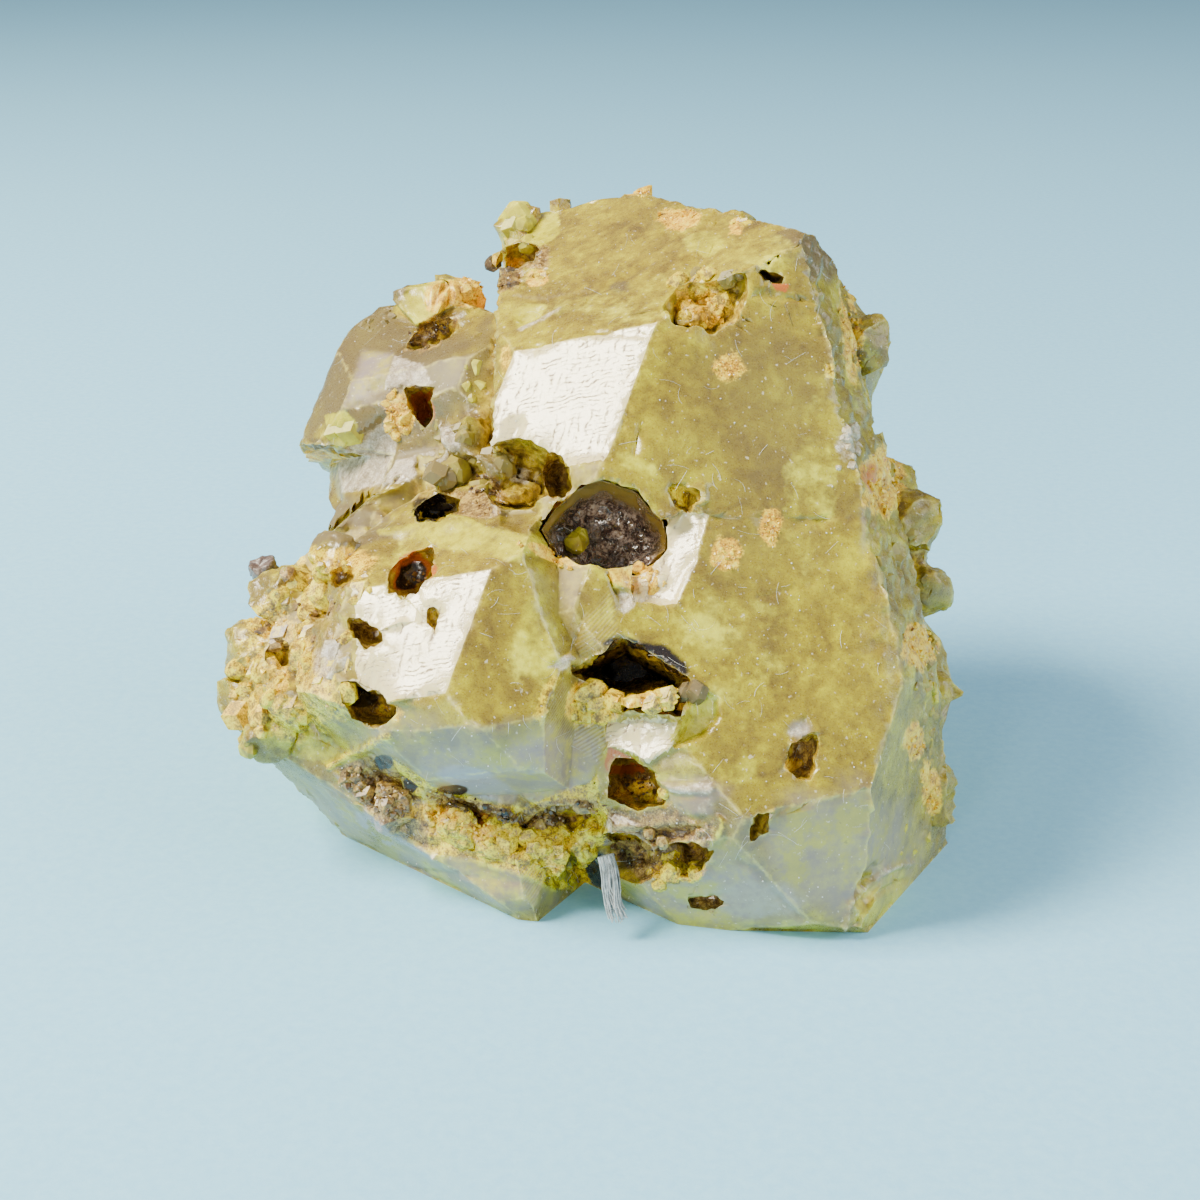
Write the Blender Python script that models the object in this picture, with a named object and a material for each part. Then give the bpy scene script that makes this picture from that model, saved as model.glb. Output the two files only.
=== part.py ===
"""Garnet specimen: one cluster of olive garnets in parallel growth, with hollows and crusts.

Places are given as the specimen is seen on display. The picture is 1200 units wide, its middle is the
display origin, u runs right and v up in millimetres, and w runs towards the eye.
"""
import math
import random
from dataclasses import dataclass

import bmesh
import bpy
from mathutils import Matrix, Vector, noise

MM = 0.001
NAME = "garnet_specimen"

# The specimen on display
DISPLAY_TILT = math.radians(21.5)
EYE_DISTANCE = 152.0
PICTURE_FOCUS = 2000.0
PICTURE_MIDDLE = 600.0
DISPLAY_ORIGIN = Vector((0.56, -3.54, 17.5))
GAP = 0.3
BLOCK = 160.0

# Orientation that all the garnets share, from two of its faces as they are displayed
FRONT_AIM = Vector((0.09, 0.21, 0.97))
BRIGHT_AIM = Vector((-0.39, 0.35, 0.85))
FLANK_AIM = (0.87, 0.26, 0.42)
LEFT_AIM = (-1.0, 0.0, 0.0)
RIGHT_AIM = (0.97, 0.2, -0.1)
BACK_AIM = (0.12, 0.25, -0.96)
LOW_BACK_AIM = (-0.1, 0.3, -0.95)
DOWN_AIM = (0.0, -1.0, 0.0)
UP_AIM = (-0.1, 0.97, 0.2)
UNDERSIDE_AIM = (-0.2, -0.97, 0.1)
CORNER_AIM = (-0.75, -0.66, 0.02)
DODECAHEDRON = [(h, k, l) for h in (-1, 0, 1) for k in (-1, 0, 1) for l in (-1, 0, 1)
                if abs(h) + abs(k) + abs(l) == 2]
TRAPEZOHEDRON = [(h, k, l) for h in (-2, -1, 1, 2) for k in (-2, -1, 1, 2) for l in (-2, -1, 1, 2)
                 if sorted((abs(h), abs(k), abs(l))) == [1, 1, 2]]
TRAPEZOHEDRON_REACH = 0.97
SPROUT_UNEVEN = 0.3
CORNER_MERGE = 0.12
FLAT_ANGLE = math.radians(0.5)
LUMP_SPREAD = 1.7
LUMP_SHIFT = 0.37


@dataclass(frozen=True)
class Garnet:
    """A crystal: its middle and reach in millimetres, and the offsets of its set and broken faces."""
    name: str
    middle: tuple
    reach: float
    faces: dict
    broken: tuple = ()
    uneven: float = 0.0


@dataclass(frozen=True)
class Sprout:
    """A small crystal or lump seen at a picture place, with its depth and size in millimetres."""
    name: str
    picture: tuple
    depth: float
    reach: float
    turn: float = 0.0


@dataclass(frozen=True)
class Hollow:
    """A rounded hollow: the picture place of its middle, its depth, its radii and its roughness."""
    name: str
    picture: tuple
    depth: float
    radii: tuple
    turn: float = 0.0
    rough: float = 0.18
    detail: int = 2


@dataclass(frozen=True)
class Notch:
    """A step cut into a crystal: the faces left at its floor and the planes that bound it."""
    name: str
    floors: tuple
    sides: tuple


@dataclass(frozen=True)
class Shaft:
    """An angular hollow: its mouth in the picture, the depths it runs between and its narrowing."""
    name: str
    mouth: tuple
    front: float
    back: float
    narrow: float = 0.7


GARNETS = (
    Garnet("main_crystal", (8.0, 3.0, -8.5), 25.0, {
        (2, 1, 1): 15.1, (1, 1, 0): 14.6, (2, 1, -1): 19.7, (1, 1, 2): 25.2, (1, 2, -1): 15.4,
        (1, 0, -1): 32.2, (2, -1, -1): 30.7, (1, 1, -2): 28.6, (0, 1, -1): 30.0, (1, 2, 1): 20.0,
        (1, -1, -2): 33.4,
        (1, 0, 1): 28.0, (1, -1, 2): 26.9, (2, -1, 1): 31.0, (1, -1, 0): 29.6},
        broken=((FLANK_AIM, 23.0), (LEFT_AIM, 7.8), (RIGHT_AIM, 21.8), (DOWN_AIM, -5.6),
                (BACK_AIM, 24.5))),
    Garnet("main_crystal_foot", (8.0, -3.0, -8.5), 24.0, {
        (2, 1, 1): 15.05, (1, 1, 0): 13.9, (2, 1, -1): 10.5, (1, 1, 2): 23.2, (0, 1, 1): 21.1,
        (-1, 1, 2): 25.6, (1, 2, 1): 15.35, (1, 0, 1): 27.0, (1, -1, 2): 26.0, (2, -1, 1): 30.0},
        broken=((FLANK_AIM, 22.95), (RIGHT_AIM, 22.2), (LOW_BACK_AIM, 22.5))),
    Garnet("front_left_crystal", (-8.5, -4.0, 2.0), 13.0, {
        (2, 1, 1): 16.0, (1, 1, 0): 17.8, (2, 1, -1): 13.2, (1, 1, 2): 18.9, (1, 0, 1): 13.4,
        (1, 2, 1): 21.9, (1, 2, -1): 20.0, (0, 1, 1): 21.3, (-1, 2, 1): 21.4}),
    Garnet("upper_left_crystal", (-13.0, 12.0, -7.0), 12.0, {
        (1, 1, 0): 13.0, (1, 2, -1): 21.0, (0, 1, -1): 26.2, (1, 1, -2): 28.9, (2, 1, -1): 18.9,
        (1, 0, -1): 26.7, (1, 2, 1): 4.8}, broken=((UNDERSIDE_AIM, -7.4),)),
    Garnet("upper_left_shoulder", (-11.0, 11.0, -8.0), 10.0, {
        (1, 1, 0): 10.2, (2, 1, -1): 21.4, (1, 0, -1): 25.6, (1, 2, -1): 17.0}, uneven=0.1),
    Garnet("middle_left_crystal", (-12.5, 6.0, -3.0), 9.0, {
        (1, 1, 0): 11.0, (2, 1, -1): 14.3, (1, 2, -1): 17.0, (0, 1, -1): 21.7}),
    Garnet("left_slab", (-17.0, 2.0, -3.0), 8.5, {
        (1, 1, 0): 12.6, (2, 1, -1): 13.4, (0, 1, -1): 22.8, (1, 2, -1): 20.0, (1, 1, -2): 17.0}),
    Garnet("left_plate", (-13.0, -10.0, -4.0), 17.0, {
        (1, 2, 1): 15.8, (-1, 2, 1): 23.7, (1, 1, 0): 13.8, (1, 2, -1): 20.6, (0, 1, -1): 23.3,
        (0, 1, 1): 22.9, (1, 1, 2): 18.4, (2, 1, 1): 8.0, (-1, 1, 2): 25.0},
        broken=((CORNER_AIM, 26.6),)),
    Garnet("back_crystal", (3.0, 9.0, -13.0), 13.5, {}, uneven=0.12),
    Garnet("back_left_crystal", (-11.0, -1.0, -11.0), 12.5, {}, uneven=0.12),
    Garnet("back_right_crystal", (12.0, -2.0, -13.0), 11.5, {}, uneven=0.12),
    Garnet("back_foot_crystal", (1.0, -12.0, -13.5), 12.0, {}, uneven=0.12),
    Garnet("upper_right_lump", (15.4, 18.6, -6.0), 7.0, {}, uneven=0.15),
    Garnet("middle_right_lump", (18.8, 5.6, -5.0), 7.6, {}, uneven=0.15),
    Garnet("lower_right_lump", (19.2, -7.4, -3.6), 7.7, {}, uneven=0.15),
    Garnet("foot_right_lump", (17.0, -14.6, -1.5), 7.8, {(1, 1, 2): 22.6}, uneven=0.1),
)

# Small crystals that cover the hidden back, spread in a spiral over a rounded form
BACK_MIDDLE = Vector((1.0, 0.0, -6.0))
BACK_RADII = (20.5, 18.5, 17.0)
BACK_COUNT = 22
BACK_REACH = (2.6, 5.2)
BACK_WRAP = 1.5
BACK_UNEVEN = 0.2
GOLDEN_TURN = math.pi * (3.0 - math.sqrt(5.0))

SPROUTS = (
    Sprout("notch_shell", (519, 226), -10.5, 2.0),
    Sprout("notch_grain", (511, 262), -9.0, 1.5, 0.6),
    Sprout("ridge_grain_left", (562, 209), -11.8, 1.0, 0.4),
    Sprout("ridge_grain_middle", (642, 198), -9.4, 1.1, 1.1),
    Sprout("ridge_grain_right", (735, 226), -6.0, 1.5, 0.7),
    Sprout("shoulder_lump", (425, 308), -5.6, 2.5, 0.3),
    Sprout("shoulder_lump_right", (462, 298), -7.0, 2.3, 0.9),
    Sprout("left_rubble_one", (290, 600), 4.0, 3.0, 0.5),
    Sprout("left_rubble_two", (266, 655), 3.4, 2.9, 1.1),
    Sprout("left_rubble_three", (318, 655), 8.2, 2.8, 0.2),
    Sprout("left_rubble_four", (248, 703), 4.0, 2.4, 0.8),
    Sprout("left_rubble_five", (300, 700), 7.0, 2.8, 1.4),
    Sprout("left_rubble_six", (350, 600), 9.4, 2.5, 0.9),
    Sprout("left_rubble_seven", (335, 560), 7.6, 2.3, 0.4),
    Sprout("left_rubble_eight", (270, 730), 6.0, 2.6, 0.1),
    Sprout("right_lump_upper", (862, 345), 0.5, 2.5, 0.6),
    Sprout("right_lump_middle", (905, 520), 2.2, 2.9, 0.9),
    Sprout("right_lump_step", (921, 590), 0.4, 2.6, 0.2),
    Sprout("right_lump_lower", (919, 690), 2.0, 2.6, 1.3),
    Sprout("right_lump_foot", (925, 790), 2.4, 2.8, 0.7),
    Sprout("collar_lump_one", (470, 440), 4.5, 2.0, 0.3),
    Sprout("collar_lump_two", (450, 475), 4.8, 1.8, 1.0),
    Sprout("collar_lump_three", (505, 462), 4.9, 1.8, 0.5),
    Sprout("collar_lump_four", (478, 492), 4.4, 1.7, 1.2),
)

CRUMBS = (
    Sprout("seam_lump_one", (455, 824), 9.6, 2.0, 0.2),
    Sprout("seam_lump_two", (498, 838), 9.6, 2.3, 0.9),
    Sprout("seam_lump_three", (548, 846), 9.8, 2.3, 1.3),
    Sprout("seam_lump_four", (398, 806), 8.4, 1.9, 0.6),
    Sprout("seam_lump_five", (590, 838), 9.8, 1.9, 0.4),
    Sprout("nest_crystal_one", (690, 318), 6.4, 1.7, 0.3),
    Sprout("nest_crystal_two", (722, 310), 6.6, 1.4, 1.0),
    Sprout("nest_crystal_three", (700, 286), 6.2, 1.2, 0.6),
    Sprout("waist_lump_one", (500, 470), 6.4, 1.7, 0.5),
    Sprout("waist_lump_two", (516, 494), 6.2, 1.4, 1.2),
    Sprout("pocket_lump", (648, 800), 9.6, 1.6, 0.8),
    Sprout("foot_lump", (670, 868), 10.4, 1.9, 0.3),
    Sprout("notch_lump", (536, 278), -8.0, 1.3, 0.4),
)

HOLLOWS = (
    Hollow("great_hollow", (604, 536), 10.6, (4.7, 3.5, 7.0), -0.16, 0.10, 3),
    Hollow("step_hollow", (556, 474), 9.8, (1.6, 2.0, 6.4)),
    Hollow("waist_hollow", (514, 474), 10.2, (3.2, 2.7, 5.2), -0.1),
    Hollow("left_black_hole", (438, 508), 7.4, (1.9, 1.3, 5.5)),
    Hollow("rimmed_pit", (413, 574), 12.2, (2.0, 2.2, 4.0)),
    Hollow("ochre_pit", (374, 705), 14.6, (2.3, 1.9, 4.4), -0.3),
    Hollow("oval_pit", (366, 633), 14.0, (1.6, 1.1, 2.4), -0.4),
    Hollow("small_rubble_pit", (337, 578), 10.6, (1.3, 1.15, 2.2)),
    Hollow("slot_pit", (804, 757), 16.2, (1.1, 1.6, 2.4), -0.3),
    Hollow("edge_pit", (760, 826), 16.8, (0.9, 1.2, 1.8), -0.3),
    Hollow("scooped_foot", (884, 893), 13.6, (2.1, 2.3, 2.6), -0.6),
    Hollow("brown_pocket", (641, 780), 13.8, (2.0, 2.0, 4.6)),
    Hollow("foot_pit", (705, 903), 12.4, (1.4, 0.7, 1.8)),
    Hollow("funnel", (685, 503), 13.4, (1.1, 1.3, 2.2)),
    Hollow("crystal_nest", (703, 305), 9.4, (3.1, 2.8, 3.4), -0.2),
    Hollow("block_pit", (768, 279), 8.6, (1.2, 0.8, 1.6)),
    Hollow("orange_hole", (421, 405), 1.8, (1.4, 1.7, 4.4), -0.3),
    Hollow("pink_hollow", (430, 330), -2.0, (2.3, 1.9, 2.8), -0.4),
    Hollow("notch_hollow", (522, 266), -8.2, (2.2, 1.9, 4.0)),
    Hollow("bright_face_pit", (433, 621), 16.1, (0.5, 0.7, 1.0)),
    Hollow("right_upper_cleft", (866, 432), 1.5, (2.0, 0.8, 5.0), 0.2),
    Hollow("right_lower_cleft", (938, 636), 1.5, (1.9, 0.8, 4.0), 0.2),
    Hollow("left_dark_band", (315, 607), 9.4, (2.0, 0.8, 2.2), -0.3),
    Hollow("left_rubble_pit", (279, 655), 6.8, (1.1, 1.1, 1.8)),
    Hollow("seam_left", (376, 796), 11.6, (3.4, 1.7, 4.2), -0.62),
    Hollow("seam_middle", (454, 828), 13.2, (4.4, 2.0, 4.4), -0.3),
    Hollow("seam_right", (548, 836), 13.8, (4.6, 2.0, 4.8), 0.1),
    Hollow("seam_under_nose", (622, 862), 13.6, (2.8, 2.2, 4.6), 0.1),
    Hollow("under_ledge", (676, 858), 14.0, (2.9, 1.5, 4.2), 0.3),
    Hollow("back_hollow", (560, 470), -25.5, (2.7, 2.2, 4.4), 0.4, 0.22),
    Hollow("back_low_hollow", (700, 620), -25.0, (2.6, 2.0, 3.2), 0.9, 0.22),
)

NOTCHES = (
    Notch("bright_notch", (((1, 1, 0), 10.6),), (
        (UP_AIM, 7.7), (DOWN_AIM, 0.3), (LEFT_AIM, -2.4), (RIGHT_AIM, 12.0))),
    Notch("bright_ledge", (((1, 1, 0), 9.3),), (
        (UP_AIM, -5.2), (DOWN_AIM, 10.4), (LEFT_AIM, -0.4), (RIGHT_AIM, 12.0))),
)

SHAFTS = (
    Shaft("black_hole", ((566, 671), (622, 637), (692, 680), (682, 716), (620, 712), (600, 688)),
          17.5, -4.0),
)

# Free space inside the two crusts, in front of them
GREAT_SPACE_SHIFT = Vector((0.2, 0.3, 3.2))
GREAT_SPACE_RADII = (4.7, 3.4, 6.0)
GREAT_SPACE_ROUGH = 0.24
BLACK_SPACE = Hollow("black_hole_space", (616, 640), 9.0, (8.5, 4.3, 20.0), 0.0, 0.25, 3)
BLACK_CRUST_MARGIN = 0.17

# Separate small pieces
TUFT_ROOT = (604, 868)
TUFT_TIP = (620, 920)
TUFT_DEPTH = 12.6
TUFT_RADII = (1.05, 0.42)
TUFT_SIDES = 9
EDGE_GRAIN = Sprout("edge_grain", (264, 568), -1.5, 1.25, 0.8)


def sight(picture, depth):
    """Display place in millimetres of a picture place at a depth towards the eye."""
    scale = (EYE_DISTANCE - depth) / PICTURE_FOCUS
    return Vector(((picture[0] - PICTURE_MIDDLE) * scale, (PICTURE_MIDDLE - picture[1]) * scale, depth))


def display_matrix():
    """Matrix from display millimetres to the part's frame in metres."""
    cos, sin = math.cos(DISPLAY_TILT), math.sin(DISPLAY_TILT)
    turn = Matrix(((1, 0, 0), (0, sin, -cos), (0, cos, sin)))
    return Matrix.Scale(MM, 4) @ Matrix.Translation(DISPLAY_ORIGIN) @ turn.to_4x4()


def lattice_matrix():
    """Rotation from the crystals' own axes to the display, from the front and the bright face."""
    def triad(first, second):
        one = first.normalized()
        two = first.cross(second).normalized()
        return Matrix((one, two, one.cross(two))).transposed()
    own = triad(Vector((2, 1, 1)), Vector((1, 1, 0)))
    return triad(FRONT_AIM, BRIGHT_AIM) @ own.transposed()


def collection(name):
    """New collection in the scene."""
    made = bpy.data.collections.new(name)
    bpy.context.scene.collection.children.link(made)
    return made


def add_object(name, mesh, home, paint=None, hidden=False):
    """Object made from a bmesh in display millimetres, moved to the part's frame."""
    bmesh.ops.recalc_face_normals(mesh, faces=mesh.faces[:])
    bmesh.ops.transform(mesh, matrix=display_matrix(), verts=mesh.verts[:])
    data = bpy.data.meshes.new(name)
    mesh.to_mesh(data)
    mesh.free()
    made = bpy.data.objects.new(name, data)
    home.objects.link(made)
    if paint:
        data.materials.append(paint)
    if hidden:
        made.hide_render = True
        made.display_type = "WIRE"
    return made


def cut_flat(mesh, normal, offset):
    """Cut a closed convex bmesh by a plane, and close it where it was cut."""
    geometry = mesh.verts[:] + mesh.edges[:] + mesh.faces[:]
    place = normal * offset
    cut = bmesh.ops.bisect_plane(mesh, geom=geometry, plane_co=place, plane_no=normal, clear_outer=True)
    rim = [item for item in cut["geom_cut"] if isinstance(item, bmesh.types.BMEdge)]
    if len(rim) > 2:
        bmesh.ops.contextual_create(mesh, geom=rim)


def clean_hull(mesh):
    """Closed hull of a convex bmesh's corners, once those that almost touch are merged."""
    bmesh.ops.remove_doubles(mesh, verts=mesh.verts[:], dist=CORNER_MERGE)
    corners = [vert.co.copy() for vert in mesh.verts]
    mesh.free()
    hull = bmesh.new()
    for corner in corners:
        hull.verts.new(corner)
    made = bmesh.ops.convex_hull(hull, input=hull.verts[:])
    spare = [item for item in made["geom_interior"] if isinstance(item, bmesh.types.BMVert)]
    bmesh.ops.delete(hull, geom=spare, context="VERTS")
    bmesh.ops.dissolve_limit(hull, angle_limit=FLAT_ANGLE, verts=hull.verts[:], edges=hull.edges[:])
    bmesh.ops.triangulate(hull, faces=hull.faces[:])
    return hull


def crystal_mesh(garnet, turn=None):
    """Garnet with both forms: each face at its own offset, or at the crystal's uneven reach."""
    mesh = bmesh.new()
    bmesh.ops.create_cube(mesh, size=BLOCK)
    lattice = turn @ lattice_matrix() if turn else lattice_matrix()
    chance = random.Random(garnet.name)
    for index in DODECAHEDRON + TRAPEZOHEDRON:
        normal = (lattice @ Vector(index)).normalized()
        share = 1.0 if index in DODECAHEDRON else TRAPEZOHEDRON_REACH
        reach = garnet.reach * share * (1.0 + garnet.uneven * chance.uniform(-1.0, 1.0))
        cut_flat(mesh, normal, garnet.faces.get(index, normal.dot(Vector(garnet.middle)) + reach))
    for aim, offset in garnet.broken:
        cut_flat(mesh, Vector(aim).normalized(), offset)
    return clean_hull(mesh)


def sprout_mesh(sprout):
    """Small uneven crystal, turned away from the shared orientation."""
    grown = Garnet(sprout.name, sight(sprout.picture, sprout.depth), sprout.reach, {}, uneven=SPROUT_UNEVEN)
    return crystal_mesh(grown, turn_matrix(sprout.turn))


def back_growth():
    """Crystals of the hidden back, most of them in the shared orientation."""
    chance = random.Random("back growth")
    grown = []
    for step in range(BACK_COUNT):
        rise = 1.0 - BACK_WRAP * (step + 0.5) / BACK_COUNT
        across = math.sqrt(1.0 - rise * rise)
        angle = step * GOLDEN_TURN
        way = Vector((across * math.cos(angle), rise, -abs(across * math.sin(angle))))
        middle = BACK_MIDDLE + Vector([part * size for part, size in zip(way, BACK_RADII)])
        grown.append(Garnet(f"back_growth_{step + 1}", tuple(middle), chance.uniform(*BACK_REACH), {},
                            uneven=BACK_UNEVEN))
    return grown


def turn_matrix(amount):
    """Turn of a sprout away from the shared orientation."""
    return Matrix.Rotation(amount, 3, Vector((0.5, 0.8, 0.33)).normalized()) if amount else None


def blob_mesh(middle, radii, turn, rough, shrink=0.0, detail=2):
    """Rounded rough body, turned in the picture plane and made smaller by shrink all round."""
    mesh = bmesh.new()
    bmesh.ops.create_icosphere(mesh, subdivisions=detail, radius=1.0)
    spin = Matrix.Rotation(turn, 3, "Z")
    for vert in mesh.verts:
        way = vert.co.normalized()
        swell = 1.0 + rough * noise.noise(way * LUMP_SPREAD + middle * LUMP_SHIFT)
        size = Vector([radius * swell - shrink for radius in radii])
        vert.co = middle + spin @ Vector((way.x * size.x, way.y * size.y, way.z * size.z))
    return mesh


def notch_mesh(notch):
    """Space in front of a notch's floor faces, bounded by its side planes."""
    mesh = bmesh.new()
    bmesh.ops.create_cube(mesh, size=BLOCK)
    lattice = lattice_matrix()
    for index, offset in notch.floors:
        cut_flat(mesh, -(lattice @ Vector(index)).normalized(), -offset)
    for aim, offset in notch.sides:
        cut_flat(mesh, Vector(aim).normalized(), offset)
    return clean_hull(mesh)


def shaft_mesh(shaft, margin=0.0):
    """Angular hollow's body: its outline drawn back along the line of sight, narrowed, less a margin."""
    mesh = bmesh.new()
    front = [sight(point, shaft.front) for point in shaft.mouth]
    middle = sum(front, Vector()) / len(front)
    ring = [mesh.verts.new(middle + (point - middle) * (1.0 - margin)) for point in front]
    face = mesh.faces.new(ring)
    drawn = bmesh.ops.extrude_face_region(mesh, geom=[face])["geom"]
    far = sum((sight(point, shaft.back) for point in shaft.mouth), Vector()) / len(front)
    for vert in drawn:
        if isinstance(vert, bmesh.types.BMVert):
            vert.co = far + (vert.co - middle) * shaft.narrow
    return mesh


def boolean(target, operation, operand):
    """Exact Boolean of a target with one object or with a collection of them."""
    modifier = target.modifiers.new(operand.name, "BOOLEAN")
    modifier.operation = operation
    modifier.solver = "EXACT"
    if isinstance(operand, bpy.types.Collection):
        modifier.operand_type = "COLLECTION"
        modifier.collection = operand
    else:
        modifier.object = operand
    return modifier


def finish_paint(name, colour, roughness, metallic=0.0):
    """Principled material with a plain colour, roughness and metallic value."""
    made = bpy.data.materials.new(name)
    made.use_nodes = True
    shader = made.node_tree.nodes["Principled BSDF"]
    shader.inputs["Base Color"].default_value = (*colour, 1.0)
    shader.inputs["Roughness"].default_value = roughness
    shader.inputs["Metallic"].default_value = metallic
    return made


def build_cluster(home, grown, cuts, crumbs):
    """Grown cluster: garnets joined in one solid, its hollows, its flat broken base and its crumbs."""
    first, *others = [*GARNETS, *back_growth()]
    body = add_object("garnet_cluster", crystal_mesh(first), home,
                      finish_paint("olive_garnet", (0.36, 0.33, 0.10), 0.28))
    for garnet in others:
        add_object(garnet.name, crystal_mesh(garnet), grown, hidden=True)
    for sprout in SPROUTS:
        add_object(sprout.name, sprout_mesh(sprout), grown, hidden=True)
    for hollow in HOLLOWS:
        middle = sight(hollow.picture, hollow.depth)
        mesh = blob_mesh(middle, hollow.radii, hollow.turn, hollow.rough, detail=hollow.detail)
        add_object(hollow.name, mesh, cuts, hidden=True)
    for shaft in SHAFTS:
        add_object(shaft.name, shaft_mesh(shaft), cuts, hidden=True)
    for notch in NOTCHES:
        add_object(notch.name, notch_mesh(notch), cuts, hidden=True)
    for crumb in CRUMBS:
        add_object(crumb.name, sprout_mesh(crumb), crumbs, hidden=True)
    add_object("table_cut", table_mesh(), cuts, hidden=True)
    boolean(body, "UNION", grown)
    boolean(body, "DIFFERENCE", cuts)
    boolean(body, "UNION", crumbs)
    return body


def table_mesh():
    """Block below the table, which cuts the cluster's flat base."""
    mesh = bmesh.new()
    bmesh.ops.create_cube(mesh, size=BLOCK)
    bmesh.ops.translate(mesh, vec=Vector((0, 0, -BLOCK / 2)), verts=mesh.verts[:])
    bmesh.ops.transform(mesh, matrix=display_matrix().inverted() @ Matrix.Scale(MM, 4), verts=mesh.verts[:])
    return mesh


def build_hollow_crust(home, cuts):
    """Dark crust that lines the great hollow, open towards the eye."""
    hollow = next(item for item in HOLLOWS if item.name == "great_hollow")
    middle = sight(hollow.picture, hollow.depth)
    crust = add_object("great_hollow_crust",
                       blob_mesh(middle, hollow.radii, hollow.turn, hollow.rough, GAP, hollow.detail), home,
                       finish_paint("dark_crust", (0.05, 0.03, 0.018), 0.2))
    inner = blob_mesh(middle + GREAT_SPACE_SHIFT, GREAT_SPACE_RADII, hollow.turn, GREAT_SPACE_ROUGH,
                      detail=hollow.detail)
    boolean(crust, "DIFFERENCE", add_object("great_hollow_space", inner, cuts, hidden=True))
    return crust


def build_black_hole_crust(home, cuts):
    """Ochre crust on the floor of the black hole: the hole's own body, emptied above the crust."""
    shaft = next(item for item in SHAFTS if item.name == "black_hole")
    crust = add_object("black_hole_crust", shaft_mesh(shaft, BLACK_CRUST_MARGIN), home,
                       finish_paint("ochre_crust", (0.50, 0.33, 0.13), 0.5))
    space = BLACK_SPACE
    inner = blob_mesh(sight(space.picture, space.depth), space.radii, space.turn, space.rough,
                      detail=space.detail)
    boolean(crust, "DIFFERENCE", add_object(space.name, inner, cuts, hidden=True))
    return crust


def build_grain(home):
    """Loose dark grain caught on the left edge."""
    return add_object(EDGE_GRAIN.name, sprout_mesh(EDGE_GRAIN), home,
                      finish_paint("dark_grain", (0.10, 0.06, 0.045), 0.45))


def build_tuft(home):
    """Grey fibre tuft: a tapered bundle that hangs from the lower seam."""
    root, tip = sight(TUFT_ROOT, TUFT_DEPTH), sight(TUFT_TIP, TUFT_DEPTH)
    run = tip - root
    mesh = bmesh.new()
    bmesh.ops.create_cone(mesh, cap_ends=True, segments=TUFT_SIDES, radius1=TUFT_RADII[0], radius2=TUFT_RADII[1],
                          depth=run.length)
    place = Matrix.Translation((root + tip) / 2) @ run.to_track_quat("Z", "Y").to_matrix().to_4x4()
    bmesh.ops.transform(mesh, matrix=place, verts=mesh.verts[:])
    return add_object("fibre_tuft", mesh, home, finish_paint("grey_fibre", (0.42, 0.43, 0.42), 0.7))


def main():
    """Build every piece of the specimen."""
    for item in list(bpy.data.objects):
        bpy.data.objects.remove(item)
    home, grown, cuts = collection(NAME), collection("garnets"), collection("hollows")
    crumbs, spaces = collection("crumbs"), collection("crust_spaces")
    build_cluster(home, grown, cuts, crumbs)
    build_hollow_crust(home, spaces)
    build_black_hole_crust(home, spaces)
    build_grain(home)
    build_tuft(home)


main()
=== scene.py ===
"""Garnet specimen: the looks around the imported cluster, its crusts, crumbs, grain and fibre tuft.

Places are named as the specimen is seen on display: the picture is 1200 units wide, its middle is the
display origin, u runs right and v up in millimetres, and w runs towards the eye.
"""
import logging
import math
import random
from dataclasses import dataclass, field
from enum import Enum
from typing import Callable, Sequence

import bmesh
import bpy
import numpy as np
from mathutils import Matrix, Vector, noise
from mathutils.bvhtree import BVHTree
from mathutils.kdtree import KDTree


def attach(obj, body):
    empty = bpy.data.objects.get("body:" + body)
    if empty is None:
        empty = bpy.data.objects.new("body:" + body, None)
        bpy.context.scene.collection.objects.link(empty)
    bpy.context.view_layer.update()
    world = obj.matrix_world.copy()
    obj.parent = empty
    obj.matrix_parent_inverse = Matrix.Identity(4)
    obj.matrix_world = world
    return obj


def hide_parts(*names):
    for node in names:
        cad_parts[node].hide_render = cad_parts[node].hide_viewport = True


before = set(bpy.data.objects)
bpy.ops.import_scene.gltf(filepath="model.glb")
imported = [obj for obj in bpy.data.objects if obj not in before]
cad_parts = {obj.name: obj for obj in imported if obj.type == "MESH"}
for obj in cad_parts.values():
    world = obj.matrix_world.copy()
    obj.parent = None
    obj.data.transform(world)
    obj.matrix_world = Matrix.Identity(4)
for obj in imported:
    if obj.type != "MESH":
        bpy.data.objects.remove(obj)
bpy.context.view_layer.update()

MM = 0.001
SAME_PLANE = math.radians(0.4)
WELD = 0.0005
RIM_REACH = 140.0
LOG = logging.getLogger("garnet_specimen")

Pair = tuple[float, float]
Triple = tuple[float, float, float]


class Mark(Enum):
    """Colour marks that are kept on the cluster's points, by the name of their attribute."""
    OCHRE = "ochre"
    RUST = "rust"
    BROWN = "brown"
    # painted shade: near-black for the deepest hollows
    DARK = "dark"
    # frosted lower faces, partly a painted reflection of the floor
    FROST_AND_FLOOR_SHEEN = "frost_and_floor_sheen"
    GREEN = "green"
    # pale facets, partly painted highlights
    PALE = "pale"
    GREY = "grey"
    GRIT = "grit"
    # painted highlight of the key light, with real etch strokes
    BRIGHT = "bright"
    STRIATED = "striated"
    BROKEN = "broken"
    # painted shade and iron stain in recesses, from how far each point is closed in
    RECESS_SHADE_AND_STAIN = "recess_shade_and_stain"
    # chipped edges, which also get a painted highlight along them
    EDGE = "edge"
    GOLD = "gold"
    # painted reflection of the bluish floor
    BLUE = "floor_reflection"
    DULL = "dull"


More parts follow.
